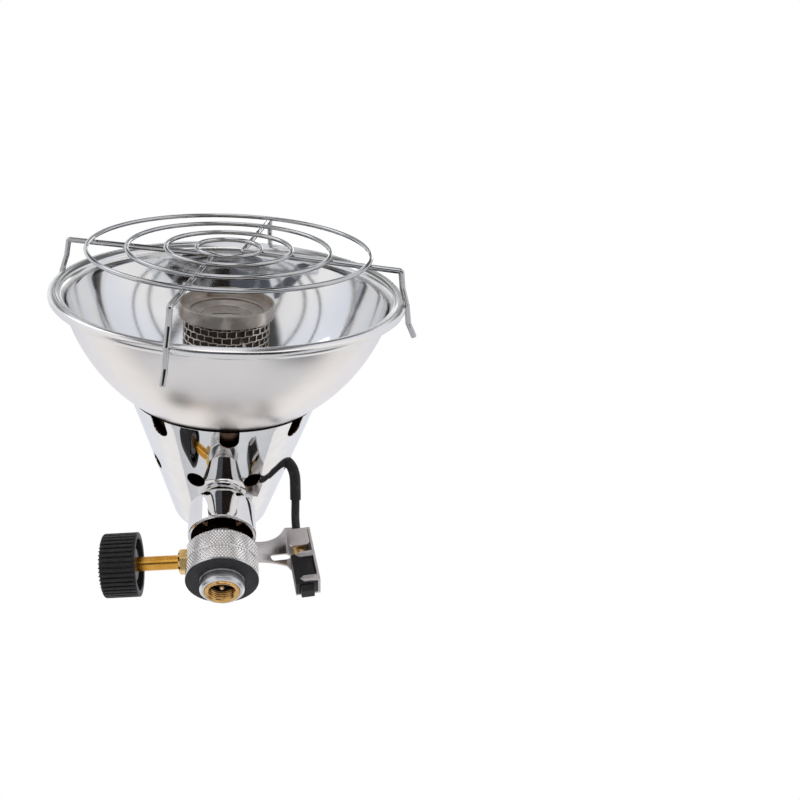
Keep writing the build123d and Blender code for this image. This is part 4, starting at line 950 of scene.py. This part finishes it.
def cone():
    """Plated cone with eight holes and eight notches, painted shade on its inner faces, and a dark
    sheet inside as painted shade.
    """
    wall, half = 0.8, pi / 2 - HEAD_TILT
    across = wall / cos(half)
    back_in = CONE_BACK + wall
    points = [
        (0.02, CONE_BACK), (cone_radius(CONE_BACK), CONE_BACK), (CONE_FRONT_RADIUS, CONE_FRONT),
        (CONE_FRONT_RADIUS - across, CONE_FRONT), (cone_radius(back_in) - across, back_in),
        (0.02, back_in),
    ]
    profile = dense(rounded(points, [0, 6.5, 0.15, 0.15, 5.7, 0], steps=14), 3.0)
    piece = lathe("rear_cone_shell", profile, HEAD, 256, [M_CONE])
    cutters = []
    openings, hole_turn, notch_turn = 8, -66.5, -87.5
    hole_place, hole_radius, notch_half, notch_depth = 5.7, 4.1, 4, 5.2
    bow = np.linspace(0.1, pi - 0.1, 24)
    notch = [(notch_half, 3), (-notch_half, 3), (-notch_half, -notch_depth)]
    notch += [(-notch_half * cos(t), -notch_depth - notch_half * sin(t)) for t in bow]
    notch += [(notch_half, -notch_depth)]
    for k in range(openings):
        for turn, along, outline in (
            (hole_turn, hole_place, circle(hole_radius, 48)), (notch_turn, CONE_FRONT, notch),
        ):
            angle = radians(turn + 360 / openings * k)
            out, ahead = Vector((cos(angle), sin(angle), 0)), Vector((0, 0, 1))
            normal = out * cos(half) - ahead * sin(half)
            x_dir = ahead.cross(out)
            y_dir = normal.cross(x_dir)
            place = Matrix((x_dir, y_dir, normal)).transposed().to_4x4()
            centre = out * cone_radius(along) + ahead * along
            place.translation = centre * MM
            cutters.append(prism(f"cutter_{k}", outline, -3, 3, HEAD @ place))
    cutters.append(prism("cutter_tube", circle(6.2, 64), 43.0, 50.0, STACK))
    cut(piece, cutters)
    # painted shade: the inner faces take the dark material
    piece.data.materials.append(M_INSIDE)
    for polygon in piece.data.polygons:
        place = polygon.center / MM
        if (hypot(place.x, place.y) < cone_radius(place.z) - wall / 2
                and CONE_BACK + wall / 2 < place.z < CONE_FRONT - 0.3 and polygon.normal.z > 0):
            polygon.material_index = 1
    lathe_normals(piece, profile)
    dress(settle(piece), "rear_cone", "cone_plate")

    # thin dark sheet inside, up to the back of the dish, standing in for shade: nothing shows
    # through the notches
    behind, thin, back, front = 3.2, 0.4, 15.0, 32.2
    shade_sheet = lathe("cone_shade_sheet", [
        (cone_radius(back) - behind, back), (cone_radius(front) - behind, front),
        (cone_radius(front) - behind - thin, front), (cone_radius(back) - behind - thin, back),
    ], HEAD, 128, [M_INSIDE])
    settle(shade_sheet)
    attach(shade_sheet, "heater")


def dish():
    """Spun dish: a deep ellipse that flares into a rolled bead."""
    wall, centre, long_axis, short_axis = 0.8, 95.0, 73.8, 70.0
    floor, wall_end, rim_place = 24.0, 77.6, 80.55
    rim_radius, bead = RIM_RADIUS, RIM_BEAD

    def ellipse(inset, start, end, count):
        out = []
        for k in range(count + 1):
            s = start + (end - start) * (k / count) ** 1.5
            share = (centre - s) / (long_axis - inset)
            out.append(((short_axis - inset) * sqrt(1 - share * share), s))
        return out

    def curve(a, b, c, count):
        a, b, c = Vector(a), Vector(b), Vector(c)
        return [tuple(a * (1 - t) ** 2 + b * 2 * t * (1 - t) + c * t * t)
                for t in (k / count for k in range(1, count + 1))]

    reach = bead * cos(pi / 4)
    outer = [(6.2, floor)] + ellipse(0, floor, wall_end, 60)
    outer += curve(outer[-1], (outer[-1][0], wall_end + wall),
                   (rim_radius - reach, rim_place - reach), 8)
    turn = [radians(a) for a in np.linspace(-135, 135, 37)]
    roll = [(rim_radius + bead * cos(a), rim_place + bead * sin(a)) for a in turn]
    inner = [(6.2, floor + wall)] + ellipse(wall, floor + wall, wall_end, 60)
    inner += curve(inner[-1], (inner[-1][0], rim_place + reach / 2),
                   (rim_radius - reach, rim_place + reach), 8)
    profile = outer + roll[1:-1] + inner[::-1]
    rim_first = len(outer) - 8
    rim_last = len(outer) + len(roll) - 2 + 8

    def slots(i):
        return 1 if rim_first <= i < rim_last else (0 if i < rim_first else 2)

    piece = lathe("reflector_dish_shell", profile, HEAD, 288,
                  [M_DISH_OUT, M_DISH_RIM, M_DISH_IN], slots=slots, sharp=50)
    dress(settle(piece), "reflector_dish", "dish_alloy")


# ---- burner
def burner():
    """Brick-pattern wire mesh round a dark core, and the cap band."""
    radius, wire = 18.35, 0.24
    low, high = 30.0, BURNER_TOP
    rows, bricks = 15, 30
    pitch = (high - low) / rows
    wires = []
    for row in range(rows + 1):
        z = low + pitch * row
        # rows sag a little between the uprights
        count = bricks * 8
        path = []
        for k in range(count):
            angle = tau * k / count
            wobble = 0.14 * sin(angle * bricks + row * pi)
            wobble += 0.16 * sin(5 * angle + row)
            path.append((radius * cos(angle), radius * sin(angle),
                         min(max(z + wobble, low + wire), high - wire)))
        wires.append(tube(f"mesh_row_{row}", path, wire, HEAD, 6, [M_MESH], closed=True))
    for row in range(rows):
        for k in range(bricks):
            angle = tau * (k + 0.5 * (row % 2)) / bricks
            c, s = cos(angle), sin(angle)
            a, b = low + pitch * row, low + pitch * (row + 1)
            path = [((radius + lift) * c, (radius + lift) * s, z)
                    for z, lift in ((a + 0.2, 0.0), ((a + b) / 2, -0.12), (b - 0.2, 0.0))]
            wires.append(tube(f"mesh_up_{row}_{k}", path, wire, HEAD, 6, [M_MESH], cap_round=0.05))
    mesh = settle(join(wires, "burner_mesh_weave"))
    dress(mesh, "burner_mesh", "burner_wire")
    core = lathe("burner_mesh_core", [(17.3, low), (17.7, low), (17.7, high), (17.3, high)],
                 HEAD, 96, [M_CORE])
    settle(core)
    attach(core, "heater")

    cap_front, cap_back, cap_outer = 75.6, 70.0, 20.3
    cap_points = [(19.5, cap_back), (cap_outer, cap_back), (cap_outer, cap_front),
                  (19.5, cap_front), (19.5, 72.25), (15.6, 72.25), (15.6, 71.45), (19.5, 71.45)]
    outline = rounded(cap_points, [0.2, 0.25, 0.35, 0.3, 0.25, 0.25, 0.2, 0.1])
    cap = lathe("burner_cap_band", outline, HEAD, 160, [M_CAP])
    dress(settle(cap), "burner_cap", "burner_steel")


def spreader():
    """Dished plate with a slit, under the cap's ledge."""
    top = BURNER_TOP
    points = [(0, top - 1.8), (11.0, top - 1.8), (15.0, top - 0.6), (16.6, top - 0.6),
              (16.6, top), (14.4, top), (10.4, top - 1.2), (0, top - 1.2)]
    inner = rounded(points[1:-1], [0.5, 0.4, 0.1, 0.1, 0.4, 0.5])
    profile = [points[0]] + inner + [points[-1]]
    piece = disc_stack("flame_spreader_plate", profile, HEAD, 128, [M_CAP])
    slit = prism("slit", rounded([(-6, -0.5), (6, -0.5), (6, 0.5), (-6, 0.5)], [0.45] * 4),
                 top - 4, top + 2, HEAD)
    cut(piece, [slit])
    smooth_faces(piece.data)
    dress(settle(piece), "flame_spreader", "burner_steel")


# ---- grill
WIRE_PLACE = 96.4
CROSS_RADIUS = 1.15
RING_RADIUS = 0.95


def grill():
    """Four rings on two wires that are bent over at the middle and grip the bead."""
    ring_place = WIRE_PLACE + CROSS_RADIUS + RING_RADIUS + 0.02
    for number, ring in enumerate((57.7, 41.7, 25.8, 13.2), start=1):
        outline = circle(RING_RADIUS, 20, ring, ring_place)
        piece = settle(lathe(f"grill_ring_{number}_wire", outline, HEAD, 256, [M_WIRE], sharp=0))
        dress(piece, f"grill_ring_{number}", "grill_wire")

    def point(degrees, radius, along, beside=0.0):
        a = radians(degrees)
        return Vector((radius * cos(a) - beside * sin(a),
                       radius * sin(a) + beside * cos(a), along))

    grip = RIM_RADIUS + RIM_BEAD + CROSS_RADIUS + 0.35
    prong = ((71.6, WIRE_PLACE), (70.0, 88.4), (grip, 82.3), (74.0, 74.2), (78.4, 68.9))
    turn, beside = -16.0, 1.8
    for number, angle in enumerate((turn + 180, turn), start=1):
        first = [point(angle, r, s, beside) for r, s in prong]
        second = [point(angle + 90, r, s, -beside) for r, s in prong]
        elbow = point(angle + 45, beside * sqrt(2), WIRE_PLACE)
        route = first[::-1] + [elbow] + second
        bends = [2.2] * 3 + [1.8, 4.0, 1.8] + [2.2] * 3
        piece = tube(f"grill_wire_{number}_bent", bent_path(route, bends), CROSS_RADIUS, HEAD, 24,
                     [M_WIRE], cap_round=0.3)
        dress(settle(piece), f"grill_wire_{number}", "grill_wire")


# ---- folded and moulded pieces
def folded_pieces():
    """The igniter's bracket, body and button: the solids' own shapes with eased edges."""
    for node, suffix, width, material, body, slot in (
        ("igniter_bracket", "_sheet", 0.22, M_BRACKET, "heater", "bracket_sheet"),
        ("igniter_body", "_case", 0.25, M_IGNITER, "heater", "igniter_black"),
        ("igniter_button", "_cap", 0.25, M_IGNITER, "igniter_push", "igniter_black"),
    ):
        mesh = NODES[node].data.copy()
        bm = bmesh.new()
        bm.from_mesh(mesh)
        bmesh.ops.remove_doubles(bm, verts=bm.verts, dist=2e-6)
        bmesh.ops.dissolve_limit(bm, angle_limit=radians(1.0), verts=bm.verts, edges=bm.edges)
        bm.to_mesh(mesh)
        bm.free()
        mesh.materials.clear()
        mesh.materials.append(material)
        piece = new_object(node + suffix, mesh)
        modifier = piece.modifiers.new("ease", "BEVEL")
        modifier.width, modifier.segments = width * MM, 2
        modifier.limit_method, modifier.angle_limit = "ANGLE", radians(35)
        apply_modifiers(piece)
        smooth_faces(piece.data, sharp=40)
        dress(piece, node, slot, body)


def gland_nut():
    """Hexagon nut with turned ends."""
    low, high = (-side[0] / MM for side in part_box("gland_nut")[::-1])
    flat, corner, bore, bevel = 4.7, 5.2, 3.05, 0.75
    profile = [(bore, low), (corner, low), (corner, low + bevel), (corner, high - bevel),
               (corner, high), (bore, high)]
    facing = radians(15)

    def hexagon(angle, r, z, i):
        if r > bore:
            off = (angle - facing + pi / 6) % (pi / 3) - pi / 6
            r = min(flat / cos(off), corner - (bevel if i in (1, 4) else 0.0))
        return r, z

    piece = lathe("gland_nut_hex", profile, KNOB, 144, [M_NUT], hexagon, sharp=18)
    dress(piece, "gland_nut", "brass")


def spindle():
    """Smooth brass spindle with its needle, turning with the knob."""
    low, high = (-side[0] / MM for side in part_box("valve_spindle")[::-1])
    needle, radius = 2.15, 2.94
    profile = [(0, low), (0.4, low), (needle, low + 3.0), (needle, low + 8.0),
               (radius, low + 8.3), (radius, high - 0.3), (radius - 0.3, high), (0, high)]
    piece = disc_stack("valve_spindle_turned", profile, KNOB, 96, [M_SPINDLE])
    dress(piece, "valve_spindle", "brass", "control")


# route of the ignition lead, point by point as in the part's source, in metres
LEAD_ROUTE = (
    (0.0324, 0.0148, 0.0309), (0.0313, 0.0148, 0.0426), (0.0324, 0.0060, 0.0520),
    (0.0328, -0.0050, 0.0611), (0.0245, -0.0077, 0.0654), (0.0192, -0.0106, 0.0595),
    (0.0094, -0.0198, 0.0511), (0.0102, -0.0264, 0.0533),
)
LEAD_LENGTH, LEAD_DIAMETER = 0.0766, 0.0037
SLEEVE_RADIUS, SLEEVE_START, SLEEVE_END = 2.4, 0.235, 0.56


def ignition_lead():
    """Black lead from the igniter into the cone, and the heat sleeve over its bow."""
    curve = bpy.data.curves.new("ignition_lead_cord", "CURVE")
    curve.dimensions = "3D"
    curve.resolution_u = 24
    spline = curve.splines.new("NURBS")
    spline.points.add(len(LEAD_ROUTE) - 1)
    for point, place in zip(spline.points, LEAD_ROUTE):
        point.co = (*place, 1)
    spline.order_u = 3
    spline.use_endpoint_u = True
    lead = new_object("ignition_lead_cord", curve)
    points = [vertex.co / MM for vertex in evaluated_mesh(lead).vertices]
    curve.bevel_depth = LEAD_DIAMETER / 2
    curve.bevel_resolution = 7
    curve.use_fill_caps = True
    curve.materials.append(M_LEAD)
    dress(lead, "ignition_lead", "lead_black")
    count = len(points)
    covered = points[round(SLEEVE_START * count):round(SLEEVE_END * count)]
    sleeve = tube("lead_sleeve_tube", covered, SLEEVE_RADIUS, STACK, 32, [M_SLEEVE])
    dress(sleeve, "lead_sleeve", "lead_black")


def dress_nodes():
    """Materials of the CAD nodes that stay."""
    for node, material in (
        ("canister_seal", M_GASKET), ("spindle_seals", M_GASKET), ("outlet_neck", M_NECK),
        ("gas_jet", M_BRASS), ("mixing_tube", M_STEEL), ("tube_saddle", M_STEEL),
        ("tube_nut", M_STEEL), ("burner_base", M_CAP), ("electrode_ceramic", M_CERAMIC),
        ("electrode_rod", M_STEEL), ("electrode_clip", M_CAP), ("igniter_spring", M_STEEL),
        ("igniter_terminal", M_BRASS),
    ):
        mesh = NODES[node].data
        mesh.materials.clear()
        mesh.materials.append(material)


for build in (
    stage_scene, ignition_lead, thread_insert, depressor_pin, collar, gasket, valve_body, knob,
    dial, joint_cup, cone, dish, burner, spreader, grill, gland_nut, spindle, folded_pieces,
    dress_nodes,
):
    build()
